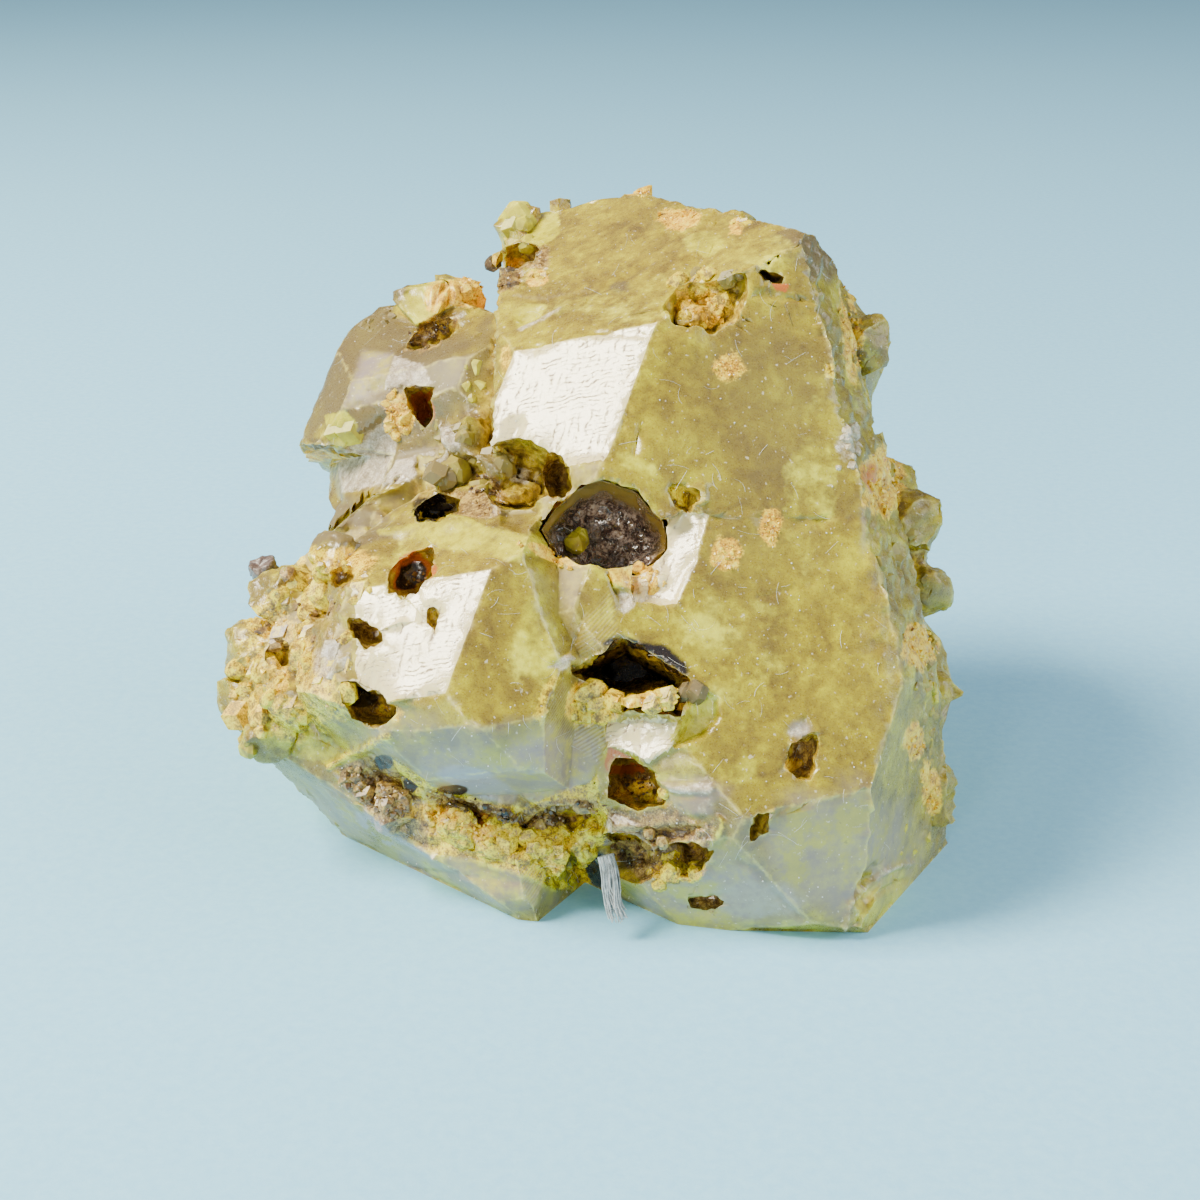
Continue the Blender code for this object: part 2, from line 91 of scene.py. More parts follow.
@dataclass(frozen=True)
class Display:
    """The specimen as it is displayed: its tilt, the eye's distance and the picture's scale."""
    tilt: float = math.radians(21.5)
    eye_distance: float = 152.0
    focus: float = 2000.0
    side: float = 1200.0
    middle: float = 600.0
    origin: Triple = (0.56, -3.54, 17.5)
    lens: float = 60.0
    sensor: float = 36.0

    def matrix(self) -> Matrix:
        """Return the matrix from display millimetres to the part's frame in metres."""
        cos, sin = math.cos(self.tilt), math.sin(self.tilt)
        turn = Matrix(((1, 0, 0), (0, sin, -cos), (0, cos, sin))).to_4x4()
        return Matrix.Scale(MM, 4) @ Matrix.Translation(self.origin) @ turn

    def sight(self, picture: Pair, depth: float) -> Vector:
        """Find a display place.

        Args:
            picture: The place in the picture.
            depth: The place's depth towards the eye.

        Returns:
            The place in display millimetres.
        """
        scale = (self.eye_distance - depth) / self.focus
        return Vector(((picture[0] - self.middle) * scale, (self.middle - picture[1]) * scale, depth))

    def pictures(self, points: np.ndarray) -> np.ndarray:
        """Find the picture places of display points.

        Args:
            points: Rows of u, v and w.

        Returns:
            Rows of picture x, picture y and w.
        """
        scale = self.focus / (self.eye_distance - points[:, 2])
        return np.stack((self.middle + points[:, 0] * scale, self.middle - points[:, 1] * scale,
                         points[:, 2]), axis=1)


DISPLAY = Display()
FRONT_AIM = Vector((0.09, 0.21, 0.97))
BRIGHT_AIM = Vector((-0.39, 0.35, 0.85))


def lattice() -> Matrix:
    """Return the rotation from the crystals' own axes to the display."""
    def triad(first: Vector, second: Vector) -> Matrix:
        """Return the axes that two directions span."""
        one, two = first.normalized(), first.cross(second).normalized()
        return Matrix((one, two, one.cross(two))).transposed()
    own = triad(Vector((2, 1, 1)), Vector((1, 1, 0)))
    return triad(FRONT_AIM, BRIGHT_AIM) @ own.transposed()


class Signal:
    """A shader value that takes part in arithmetic."""

    def __init__(self, graph: "Graph", socket: bpy.types.NodeSocket) -> None:
        """Keep the graph and the socket that carries the value."""
        self.graph = graph
        self.socket = socket

    def maths(self, operation: str, *others: object) -> "Signal":
        """Add a Math node.

        Args:
            operation: The node's operation.
            others: Its values after this one, as numbers or signals.

        Returns:
            The node's result.
        """
        values = dict(enumerate((self, *others)))
        return self.graph.node("ShaderNodeMath", {"operation": operation}, values)

    def __add__(self, other: object) -> "Signal":
        """Return the sum."""
        return self.maths("ADD", other)

    __radd__ = __add__

    def __mul__(self, other: object) -> "Signal":
        """Return the product."""
        return self.maths("MULTIPLY", other)

    __rmul__ = __mul__

    def __sub__(self, other: object) -> "Signal":
        """Return the difference."""
        return self.maths("SUBTRACT", other)

    def __rsub__(self, other: float) -> "Signal":
        """Return a number less this value."""
        return (self * -1.0) + other

    def __pow__(self, other: object) -> "Signal":
        """Return the power."""
        return self.maths("POWER", other)

    def most(self, other: object) -> "Signal":
        """Return the larger of two values."""
        return self.maths("MAXIMUM", other)

    def step(self, low: float, high: float) -> "Signal":
        """Return a smooth step.

        Args:
            low: The value that gives 0.
            high: The value that gives 1.

        Returns:
            A value from 0 to 1.
        """
        return self.graph.node("ShaderNodeMapRange", {"interpolation_type": "SMOOTHSTEP", "clamp": True},
                               {"Value": self, "From Min": low, "From Max": high})


class Graph:
    """A material's node tree around its Principled shader."""

    def __init__(self, name: str) -> None:
        """Make the material and find its shader.

        Args:
            name: The material's name.
        """
        self.material = bpy.data.materials.new(name)
        self.material.use_nodes = True
        self.tree = self.material.node_tree
        self.shader = self.tree.nodes["Principled BSDF"]
        self._place: Signal | None = None

    def node(self, kind: str, settings: dict, values: dict, output: object = 0) -> Signal:
        """Add a node.

        Args:
            kind: The node's type.
            settings: Its settings, which are set first. A ramp's stops are under "stops".
            values: Its sockets' values or links, by name or number.
            output: The output to use.

        Returns:
            The chosen output as a signal.
        """
        made = self.tree.nodes.new(kind)
        for key, value in settings.items():
            if key == "stops":
                self._set_stops(made.color_ramp, value)
            else:
                setattr(made, key, value)
        for key, value in values.items():
            self.feed(made.inputs[key], value)
        return Signal(self, made.outputs[output])

    def feed(self, target: bpy.types.NodeSocket, value: object) -> None:
        """Link a signal to a socket, or set the socket's value.

        Args:
            target: The socket.
            value: A signal, a number, a vector or a colour.
        """
        if isinstance(value, Signal):
            self.tree.links.new(value.socket, target)
        elif target.type == "RGBA" and len(value) == 3:
            target.default_value = (*value, 1.0)
        else:
            target.default_value = value

    @staticmethod
    def _set_stops(ramp: bpy.types.ColorRamp, stops: Sequence[tuple[float, Triple]]) -> None:
        """Set a colour ramp's stops."""
        while len(ramp.elements) < len(stops):
            ramp.elements.new(0.5)
        for element, (place, colour) in zip(ramp.elements, stops):
            element.position = place
            element.color = (*colour, 1.0)

    def place(self) -> Signal:
        """Return the object coordinates in millimetres."""
        if self._place is None:
            coords = self.node("ShaderNodeTexCoord", {}, {}, "Object")
            self._place = self.node("ShaderNodeVectorMath", {"operation": "SCALE"},
                                    {0: coords, "Scale": 1.0 / MM})
        return self._place

    def noise(self, scale: float, detail: float = 3.0, rough: float = 0.55, bend: float = 0.0,
              shift: float = 0.0) -> Signal:
        """Add a noise.

        Args:
            scale: Its features per millimetre.
            detail: Its finer layers.
            rough: The strength of the finer layers.
            bend: Its distortion.
            shift: Its shift in millimetres, so that two noises differ.

        Returns:
            The noise's value, around 0.5.
        """
        where = self.moved(shift) if shift else self.place()
        return self.node("ShaderNodeTexNoise", {}, {"Vector": where, "Scale": scale, "Detail": detail,
                                                    "Roughness": rough, "Distortion": bend})

    def moved(self, shift: float) -> Signal:
        """Return the coordinates moved by a shift along each axis."""
        return self.node("ShaderNodeVectorMath", {"operation": "ADD"},
                         {0: self.place(), 1: (shift, shift * 1.7, shift * 0.6)})

    def bands(self, aim: Vector, scale: float, bend: float, detail: float = 2.0,
              bend_scale: float = 1.0) -> Signal:
        """Add fine bands that cross a direction.

        Args:
            aim: The direction in display terms.
            scale: The bands per millimetre.
            bend: The bands' distortion.
            detail: The distortion's finer layers.
            bend_scale: The distortion's scale.

        Returns:
            The bands' value from 0 to 1.
        """
        world = (DISPLAY.matrix().to_3x3() @ aim).normalized()
        along = self.node("ShaderNodeVectorMath", {"operation": "DOT_PRODUCT"},
                          {0: self.place(), 1: tuple(world)}, "Value")
        drift = self.noise(bend_scale, detail) * bend
        return ((along + drift) * (scale * math.tau)).maths("SINE") * 0.5 + 0.5

    def mark(self, mark: Mark) -> Signal:
        """Return a colour mark's value on the surface."""
        return self.node("ShaderNodeAttribute", {"attribute_name": mark.value}, {}, "Fac")

    def blend(self, factor: object, first: object, second: object) -> Signal:
        """Mix two colours.

        Args:
            factor: The share of the second colour.
            first: The first colour.
            second: The second colour.

        Returns:
            The mixed colour.
        """
        return self.node("ShaderNodeMix", {"data_type": "RGBA"}, {0: factor, 6: first, 7: second}, 2)

    def ramp(self, factor: Signal, stops: Sequence[tuple[float, Triple]]) -> Signal:
        """Return a colour ramp's colour for a value."""
        return self.node("ShaderNodeValToRGB", {"stops": stops}, {"Fac": factor}, "Color")

    def bump(self, height: Signal, distance: float, strength: float = 1.0) -> None:
        """Feed the shader's normal from a height.

        Args:
            height: The height from 0 to 1.
            distance: The height's full size in millimetres.
            strength: The effect's strength.
        """
        normal = self.node("ShaderNodeBump", {}, {"Height": height, "Distance": distance * MM,
                                                  "Strength": strength})
        self.feed(self.shader.inputs["Normal"], normal)

    def finish(self, **values: object) -> bpy.types.Material:
        """Set the shader's sockets.

        Args:
            values: Values by socket name, with underscores for spaces.

        Returns:
            The material.
        """
        for key, value in values.items():
            self.feed(self.shader.inputs[key.replace("_", " ")], value)
        return self.material


@dataclass(frozen=True)
class GarnetFinish:
    """Cloudy olive garnet: etch strokes and a painted highlight on the bright faces, frosted lower faces with
    a painted floor reflection, and hollows with stains and painted shade.
    """
    index: float = 1.66
    cloud: Sequence[tuple[float, Triple]] = (
        (0.36, (0.12, 0.076, 0.018)), (0.44, (0.21, 0.145, 0.014)), (0.52, (0.34, 0.262, 0.008)),
        (0.60, (0.52, 0.45, 0.005)), (0.70, (0.76, 0.70, 0.008)))
    ochre: Sequence[tuple[float, Triple]] = (
        (0.38, (0.30, 0.12, 0.005)), (0.46, (0.70, 0.37, 0.006)), (0.54, (1.0, 0.62, 0.012)),
        (0.64, (1.0, 0.82, 0.10)))
    gold: Sequence[tuple[float, Triple]] = (
        (0.40, (0.17, 0.09, 0.006)), (0.47, (0.52, 0.33, 0.006)), (0.54, (0.96, 0.70, 0.006)),
        (0.64, (1.0, 0.90, 0.04)))
    rust: Triple = (0.48, 0.11, 0.015)
    brown: Sequence[tuple[float, Triple]] = (
        (0.38, (0.06, 0.03, 0.014)), (0.48, (0.20, 0.11, 0.035)), (0.60, (0.56, 0.37, 0.09)))
    # painted shade and iron stain for recesses, laid by the recess mark
    hollow: Sequence[tuple[float, Triple]] = (
        (0.38, (0.16, 0.09, 0.012)), (0.5, (0.42, 0.27, 0.025)), (0.62, (0.80, 0.60, 0.05)))
    # painted shade: near-black for the deepest hollows
    dark: Triple = (0.014, 0.008, 0.007)
    # frosted lower faces, partly a painted reflection of the floor
    frost_and_floor_sheen: Sequence[tuple[float, Triple]] = (
        (0.42, (0.32, 0.25, 0.24)), (0.50, (0.40, 0.33, 0.20)), (0.58, (0.50, 0.43, 0.09)))
    # painted reflection of the bluish floor on lower edges
    floor_reflection: Triple = (0.34, 0.31, 0.35)
    green: Sequence[tuple[float, Triple]] = (
        (0.40, (0.36, 0.31, 0.008)), (0.52, (0.60, 0.55, 0.01)), (0.62, (0.80, 0.76, 0.06)))
    # pale facets, partly painted highlights
    pale: Sequence[tuple[float, Triple]] = (
        (0.38, (0.30, 0.23, 0.14)), (0.52, (0.56, 0.47, 0.34)), (0.62, (0.86, 0.77, 0.62)))
    grey: Triple = (0.15, 0.105, 0.04)
    # painted highlight along sharp edges, partly chipped wear
    edge: Triple = (0.80, 0.70, 0.18)
    # painted highlight of the key light on the faces that mirror it
    painted_key_highlight: Triple = (0.96, 0.82, 0.46)
    stroke: Triple = (0.20, 0.12, 0.05)

    def ragged(self, graph: Graph, mark: Mark, grain: Signal, spread: float = 0.55) -> Signal:
        """Give a mark a ragged border.

        Args:
            graph: The material's graph.
            mark: The mark.
            grain: The noise that the border follows.
            spread: How far the border follows it.

        Returns:
            The mark's value with its border.
        """
        return (graph.mark(mark) + (grain - 0.5) * spread).step(0.26, 0.66)

    def colour(self, graph: Graph, grain: Signal, fine: Signal) -> Signal:
        """Build the colour.

        Args:
            graph: The material's graph.
            grain: The middle-sized noise.
            fine: The fine noise.

        Returns:
            The colour's signal.
        """
        cloud = graph.noise(0.13, 5, 0.62, shift=1)
        tone = cloud * 0.36 + graph.noise(0.5, 4, 0.62, 0.5, shift=9) * 0.36 + grain * 0.18 + fine * 0.10
        drift = graph.noise(0.3, 4, 0.6, shift=14) * 0.7 + grain * 0.3
        mixed = grain * 0.55 + fine * 0.45
        colour = graph.ramp(tone, self.cloud)
        colour = graph.blend((graph.mark(Mark.GREY) * (drift + 0.6)).step(0.04, 1.0) * 0.85, colour,
                             self.grey)
        colour = graph.blend(self.ragged(graph, Mark.GREEN, drift, 1.3) * 0.8, colour,
                             graph.ramp(drift, self.green))
        # frosted lower faces, partly a painted reflection of the floor
        colour = graph.blend(graph.mark(Mark.FROST_AND_FLOOR_SHEEN) * 0.85, colour, graph.ramp(drift, self.frost_and_floor_sheen))
        # painted reflection of the bluish floor
        colour = graph.blend(self.ragged(graph, Mark.BLUE, drift, 1.3) * 0.75, colour, self.floor_reflection)
        # painted shade and iron stain where the surface is closed in
        colour = graph.blend(graph.mark(Mark.RECESS_SHADE_AND_STAIN).step(0.15, 0.75) * 0.8, colour,
                             graph.ramp(grain, self.hollow))
        colour = graph.blend(self.ragged(graph, Mark.GOLD, grain, 0.9) * 0.9, colour,
                             graph.ramp(mixed, self.gold))
        # pale facets, partly painted highlights
        colour = graph.blend(self.ragged(graph, Mark.PALE, grain, 0.9) * 0.8, colour,
                             graph.ramp(mixed, self.pale))
        colour = graph.blend(self.ragged(graph, Mark.BROWN, grain, 0.9) * 0.92, colour,
                             graph.ramp(mixed, self.brown))
        colour = graph.blend(self.ragged(graph, Mark.OCHRE, mixed, 1.3) * 0.92, colour,
                             graph.ramp(mixed, self.ochre))
        colour = graph.blend(self.ragged(graph, Mark.RUST, grain, 0.9) * 0.9, colour, self.rust)
        # painted shade: near-black in the deepest hollows
        colour = graph.blend(self.ragged(graph, Mark.DARK, grain, 0.5), colour, self.dark)
        # painted highlight along sharp edges, partly chipped wear
        worn_lit_edge = (graph.mark(Mark.EDGE) + (grain - 0.5) * 0.8).step(0.80, 1.12)
        return graph.blend(worn_lit_edge * 0.4, colour, self.edge)

    def etching(self, graph: Graph) -> Signal:
        """Return the height of the bright faces' broken strokes in two directions."""
        across, along = Vector((0.96, -0.27, 0.0)), Vector((-0.05, 0.92, -0.38))
        rows = graph.bands(along, 2.7, 1.1, 4, 0.7) ** 5.0
        columns = graph.bands(across, 1.8, 1.2, 4, 0.8) ** 5.0
        choice = graph.noise(0.5, 4, 0.7, shift=4).step(0.40, 0.60)
        broken = graph.noise(1.3, 4, 0.7, shift=12).step(0.42, 0.62)
        return (rows * choice + columns * (1.0 - choice)) * broken

    def build(self) -> bpy.types.Material:
        """Return the finished material."""
        graph = Graph("olive_garnet_finish")
        grain, fine = graph.noise(1.6, 4, 0.6, shift=3), graph.noise(7.0, 3, 0.6, shift=6)
        bright, striated = graph.mark(Mark.BRIGHT), graph.mark(Mark.STRIATED)
        grit = graph.mark(Mark.GRIT)
        colour = self.colour(graph, grain, fine)
        strokes = self.etching(graph)
        flecks = graph.noise(3.2, 2, 0.5, shift=21).step(0.66, 0.74)
        specks = graph.noise(2.3, 2, 0.5, shift=25).step(0.68, 0.76)
        colour = graph.blend(flecks * 0.45, colour, self.pale[2][1])
        colour = graph.blend(specks * 0.4, colour, self.grey)
        # painted highlight of the key light on the bright faces; the strokes over it are real etching
        colour = graph.blend(bright * 0.8, colour, self.painted_key_highlight)
        colour = graph.blend(bright * strokes * 0.95, colour, self.stroke)
        lines = graph.bands((lattice() @ Vector((1, 1, -1))).normalized(), 4.6, 0.08, 2, 0.5)
        colour = graph.blend(striated * lines * 0.2, colour, self.pale[1][1])
        height = (grain * 0.22 + fine * (grit * 0.6 + 0.12) - strokes * bright * 0.25
                  + lines * striated * 0.2)
        graph.bump(height * (1.0 - bright * 0.4), 0.09)
        rough = (0.29 + (fine - 0.5) * 0.2) + bright * (strokes * 0.45 - 0.12) \
            + graph.mark(Mark.OCHRE) * 0.12 + graph.mark(Mark.FROST_AND_FLOOR_SHEEN) * 0.05 + graph.mark(Mark.DULL) * 0.3 \
            - graph.mark(Mark.BROWN) * 0.14 - graph.mark(Mark.GOLD) * 0.1
        return graph.finish(
            Base_Color=colour, Roughness=rough.most(0.09), IOR=self.index, Subsurface_Weight=0.3,
            Subsurface_Radius=(1.0, 0.8, 0.25), Subsurface_Scale=0.0012)


@dataclass(frozen=True)
class CrystalFinish:
    """A plain mineral with a mottled colour, for crusts, crumbs and grains."""
    name: str
    stops: Sequence[tuple[float, Triple]]
    rough: float = 0.35
    mottle: float = 1.2
    relief: float = 0.05
    coat: float = 0.0
    soft: float = 0.0
    wall: Triple = (0.30, 0.19, 0.03)

    def build(self) -> bpy.types.Material:
        """Return the finished material."""
        graph = Graph(self.name)
        grain, fine = graph.noise(self.mottle, 4, 0.6), graph.noise(self.mottle * 5.0, 3, shift=5)
        graph.bump(grain * 0.4 + fine * 0.6, self.relief)
        colour = graph.ramp(grain * 0.6 + fine * 0.4, self.stops)
        return graph.finish(
            Base_Color=graph.blend(graph.mark(Mark.BROWN), colour, self.wall),
            Roughness=(self.rough + (fine - 0.5) * 0.25).most(0.05), IOR=1.7,
            Coat_Weight=self.coat, Subsurface_Weight=self.soft,
            Subsurface_Radius=(1.0, 0.8, 0.4), Subsurface_Scale=0.0006)


@dataclass(frozen=True)
class FloorFinish:
    """Pale matte paper with a fine fibre mottle."""
    light: Triple = (0.33, 0.72, 0.97)
    deep: Triple = (0.28, 0.66, 0.93)

    def build(self) -> bpy.types.Material:
        """Return the finished material."""
        graph = Graph("pale_paper")
        mottle = graph.noise(1.1, 4, 0.7)
        graph.bump(mottle, 0.05, 0.6)
        return graph.finish(Base_Color=graph.ramp(mottle, ((0.35, self.deep), (0.65, self.light))),
                            Roughness=0.85, Specular_IOR_Level=0.2)


@dataclass(frozen=True)
class Touch:
    """A colour mark on what the eye sees at a picture place."""
    mark: Mark
    picture: Pair
    radii: Pair
    turn: float = 0.0
    strength: float = 1.0


@dataclass(frozen=True)
class Zone:
    """A picture place that small crumbs are strewn over, with their number, size range and sinking."""
    picture: Pair
    radii: Pair
    count: int
    sizes: Pair
    turn: float = 0.0
    sink: float = 0.3


@dataclass(frozen=True)
class Patch:
    """A patch with straight borders on what the eye sees, with its marks and its flat face."""
    corners: Sequence[Pair]
    marks: Sequence[tuple[Mark, float]] = ()
    aim: Triple | None = None
    lift: float = 0.0
    soft: float = 4.0


@dataclass(frozen=True)
class Stroke:
    """A line on what the eye sees: a ridge where its height is positive, or else a groove."""
    points: Sequence[Pair]
    width: float
    height: float
    mark: Mark | None = None
    strength: float = 0.8


@dataclass(frozen=True)
class Rim:
    """A hollow's plain oval, and the outline that it has in the picture."""
    picture: Pair
    depth: float
    radii: Pair
    turn: float
    corners: Sequence[Pair]
    floor: float = 5.0

    def reach(self, angles: np.ndarray) -> tuple[np.ndarray, np.ndarray]:
        """Measure the oval and the outline.

        Args:
            angles: Angles about the middle in the picture.

        Returns:
            The oval's and the outline's distance from the middle at each angle, in picture units.
        """
        scale = DISPLAY.focus / (DISPLAY.eye_distance - self.depth)
        own = angles + self.turn
        oval = scale / np.hypot(np.cos(own) / self.radii[0], np.sin(own) / self.radii[1])
        ends = [np.array(corner, dtype=float) - np.array(self.picture) for corner in self.corners]
        line = np.concatenate([np.linspace(start, end, 14, endpoint=False)
                               for start, end in zip(ends, (*ends[1:], ends[0]))])
        turns = np.arctan2(line[:, 1], line[:, 0])
        order = np.argsort(turns)
        outline = np.interp(angles, turns[order], np.hypot(*line[order].T), period=math.tau)
        return oval, outline


@dataclass(frozen=True)
class Growth:
    """A picture place that small garnet crystals grow on, with their number, sizes and marks."""
    picture: Pair
    radii: Pair
    count: int
    sizes: Pair
    marks: Sequence[tuple[Mark, float]] = ()
    turn: float = 0.0
    aligned: float = 0.4
    sink: float = 0.7


def line_distance(places: np.ndarray, points: Sequence[Pair], closed: bool = False) -> np.ndarray:
    """Measure how far picture places are from a line.

    Args:
        places: Rows of picture x and y.
        points: The line's points.
        closed: Whether the line returns to its start.

    Returns:
        The distance of each place.
    """
    line = [np.array(point, dtype=float) for point in points]
    if closed:
        line.append(line[0])
    nearest = np.full(len(places), 1e6)
    for start, end in zip(line, line[1:]):
        run = end - start
        share = np.clip((places - start) @ run / max(run @ run, 1e-9), 0.0, 1.0)
        nearest = np.minimum(nearest, np.hypot(*(places - start - share[:, None] * run).T))
    return nearest


def inside_distance(places: np.ndarray, corners: Sequence[Pair]) -> np.ndarray:
    """Measure how far picture places lie inside a shape.

    Args:
        places: Rows of picture x and y.
        corners: The shape's corners.

    Returns:
        The distance to its border, positive inside.
    """
    inside = np.zeros(len(places), dtype=bool)
    for (x0, y0), (x1, y1) in zip(corners, (*corners[1:], corners[0])):
        crosses = (y0 > places[:, 1]) != (y1 > places[:, 1])
        rise = (y1 - y0) or 1e-9
        inside ^= crosses & (places[:, 0] < (x1 - x0) * (places[:, 1] - y0) / rise + x0)
    return np.where(inside, 1.0, -1.0) * line_distance(places, corners, True)


class Ground:
    """The specimen's solids as one surface in display millimetres, which small pieces are set on."""

    def __init__(self, names: Sequence[str]) -> None:
        """Gather the named nodes' meshes.

        Args:
            names: The nodes' names.
        """
        self.back = DISPLAY.matrix().inverted()
        joined = bmesh.new()
        for name in names:
            joined.from_mesh(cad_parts[name].data)
        bmesh.ops.transform(joined, matrix=self.back, verts=joined.verts[:])
        self.tree = BVHTree.FromBMesh(joined)
        joined.free()
        self.eye = Vector((0.0, 0.0, DISPLAY.eye_distance))

    def seen(self, picture: Pair) -> tuple[Vector, Vector] | None:
        """Find what the eye sees.

        Args:
            picture: The place in the picture.

        Returns:
            The surface's place and normal, or None where the sight passes the specimen.
        """
        way = (DISPLAY.sight(picture, 0.0) - self.eye).normalized()
        place, normal, _, _ = self.tree.ray_cast(self.eye, way)
        return (place, normal) if place is not None else None

    def cover(self, place: Vector, normal: Vector, rays: Sequence[Vector], reach: float) -> float:
        """Measure how far a place is closed in.

        Args:
            place: The place.
            normal: Its normal.
            rays: Directions over the upper half of a ball.
            reach: How far the rays look.

        Returns:
            The share of rays that meet the surface.
        """
        turn = normal.to_track_quat("Z", "Y")
        start = place + normal * 0.06
        met = sum(1 for ray in rays if self.tree.ray_cast(start, turn @ ray, reach)[0] is not None)
        return met / len(rays)


def refine(mesh: bmesh.types.BMesh, limit: Callable[[np.ndarray], np.ndarray], rounds: int = 9) -> None:
    """Divide a mesh's edges until each is short enough, keeping its shape.

    Args:
        mesh: The mesh.
        limit: The longest edge at each of the places that it is given.
        rounds: The most rounds of dividing.
    """
    for _ in range(rounds):
        mesh.verts.index_update()
        edges = mesh.edges[:]
        points = np.array([vert.co for vert in mesh.verts])
        ends = points[np.array([(edge.verts[0].index, edge.verts[1].index) for edge in edges])]
        lengths = np.linalg.norm(ends[:, 0] - ends[:, 1], axis=1)
        long = [edges[row] for row in np.nonzero(lengths > limit(ends.mean(axis=1)))[0]]
        if not long:
            return
        bmesh.ops.subdivide_edges(mesh, edges=long, cuts=1)
        bmesh.ops.triangulate(mesh, faces=[face for face in mesh.faces if len(face.verts) > 3])
        flat = [edge for edge in mesh.edges if edge.calc_face_angle(1.0) < SAME_PLANE]
        bmesh.ops.beautify_fill(mesh, faces=mesh.faces[:], edges=flat, method="ANGLE")


def grown(name: str, mesh: bmesh.types.BMesh, material: bpy.types.Material,
          crease: float | None = 30.0) -> bpy.types.Object:
    """Make a piece from a mesh in display millimetres.

    Args:
        name: The piece's name.
        mesh: Its mesh, which is used up.
        material: Its material.
        crease: The angle in degrees over which an edge stays sharp, or None for flat faces.

    Returns:
        The piece, riding on the specimen.
    """
    bmesh.ops.transform(mesh, matrix=DISPLAY.matrix(), verts=mesh.verts[:])
    data = bpy.data.meshes.new(name)
    mesh.to_mesh(data)
    mesh.free()
    if crease is None:
        data.shade_flat()
    else:
        data.shade_smooth()
        data.set_sharp_from_angle(angle=math.radians(crease))
    data.materials.append(material)
    piece = bpy.data.objects.new(name, data)
    bpy.context.scene.collection.objects.link(piece)
    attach(piece, "root")
    LOG.info("%s: %d faces", name, len(data.polygons))
    return piece


def write_mark(piece: bpy.types.Object, mark: Mark, values: np.ndarray, domain: str = "POINT") -> None:
    """Write a mark's values on a piece.

    Args:
        piece: The piece.
        mark: The mark.
        values: Its values, in the order of the mesh.
        domain: What the values belong to, points or faces.
    """
    layer = piece.data.attributes.new(mark.value, "FLOAT", domain)
    layer.data.foreach_set("value", values.astype(np.float32))


def node_mesh(name: str) -> bmesh.types.BMesh:
    """Copy a CAD node.

    Args:
        name: The node's name.

    Returns:
        Its closed mesh in display millimetres.
    """
    mesh = bmesh.new()
    mesh.from_mesh(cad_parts[name].data)
    bmesh.ops.transform(mesh, matrix=DISPLAY.matrix().inverted(), verts=mesh.verts[:])
    bmesh.ops.remove_doubles(mesh, verts=mesh.verts[:], dist=WELD)
    return mesh


@dataclass
class Template:
    """A small shape that is copied many times."""
    data: bpy.types.Mesh
    points: np.ndarray

    @classmethod
    def keep(cls, name: str, mesh: bmesh.types.BMesh) -> "Template":
        """Keep a mesh as a shape to copy, and free it.

        Args:
            name: The shape's name.
            mesh: Its mesh.

        Returns:
            The shape.
        """
        data = bpy.data.meshes.new(name)
        mesh.to_mesh(data)
        mesh.free()
        return cls(data, np.array([vert.co for vert in data.vertices]))

    def add(self, mesh: bmesh.types.BMesh, matrix: Matrix) -> int:
        """Add a copy to a mesh.

        Args:
            mesh: The mesh.
            matrix: The copy's place, turn and size.

        Returns:
            How many points the copy has.
        """
        placed = self.points @ np.array(matrix.to_3x3()).T + np.array(matrix.translation)
        self.data.vertices.foreach_set("co", placed.astype(np.float32).ravel())
        mesh.from_mesh(self.data)
        return len(self.points)

    def drop(self) -> None:
        """Remove the shape once its copies are made."""
        bpy.data.meshes.remove(self.data)


def half_ball(count: int) -> list[Vector]:
    """Return directions spread over the upper half of a ball."""
    golden = math.pi * (3.0 - math.sqrt(5.0))
    ways = []
    for step in range(count):
        rise = 0.15 + 0.85 * (step + 0.5) / count
        across = math.sqrt(1.0 - rise * rise)
        ways.append(Vector((across * math.cos(step * golden), across * math.sin(step * golden), rise)))
    return ways


def smooth_step(values: np.ndarray, low: float, high: float) -> np.ndarray:
    """Return a smooth step of values between a low and a high value."""
    share = np.clip((values - low) / (high - low), 0.0, 1.0)
    return share * share * (3.0 - 2.0 * share)


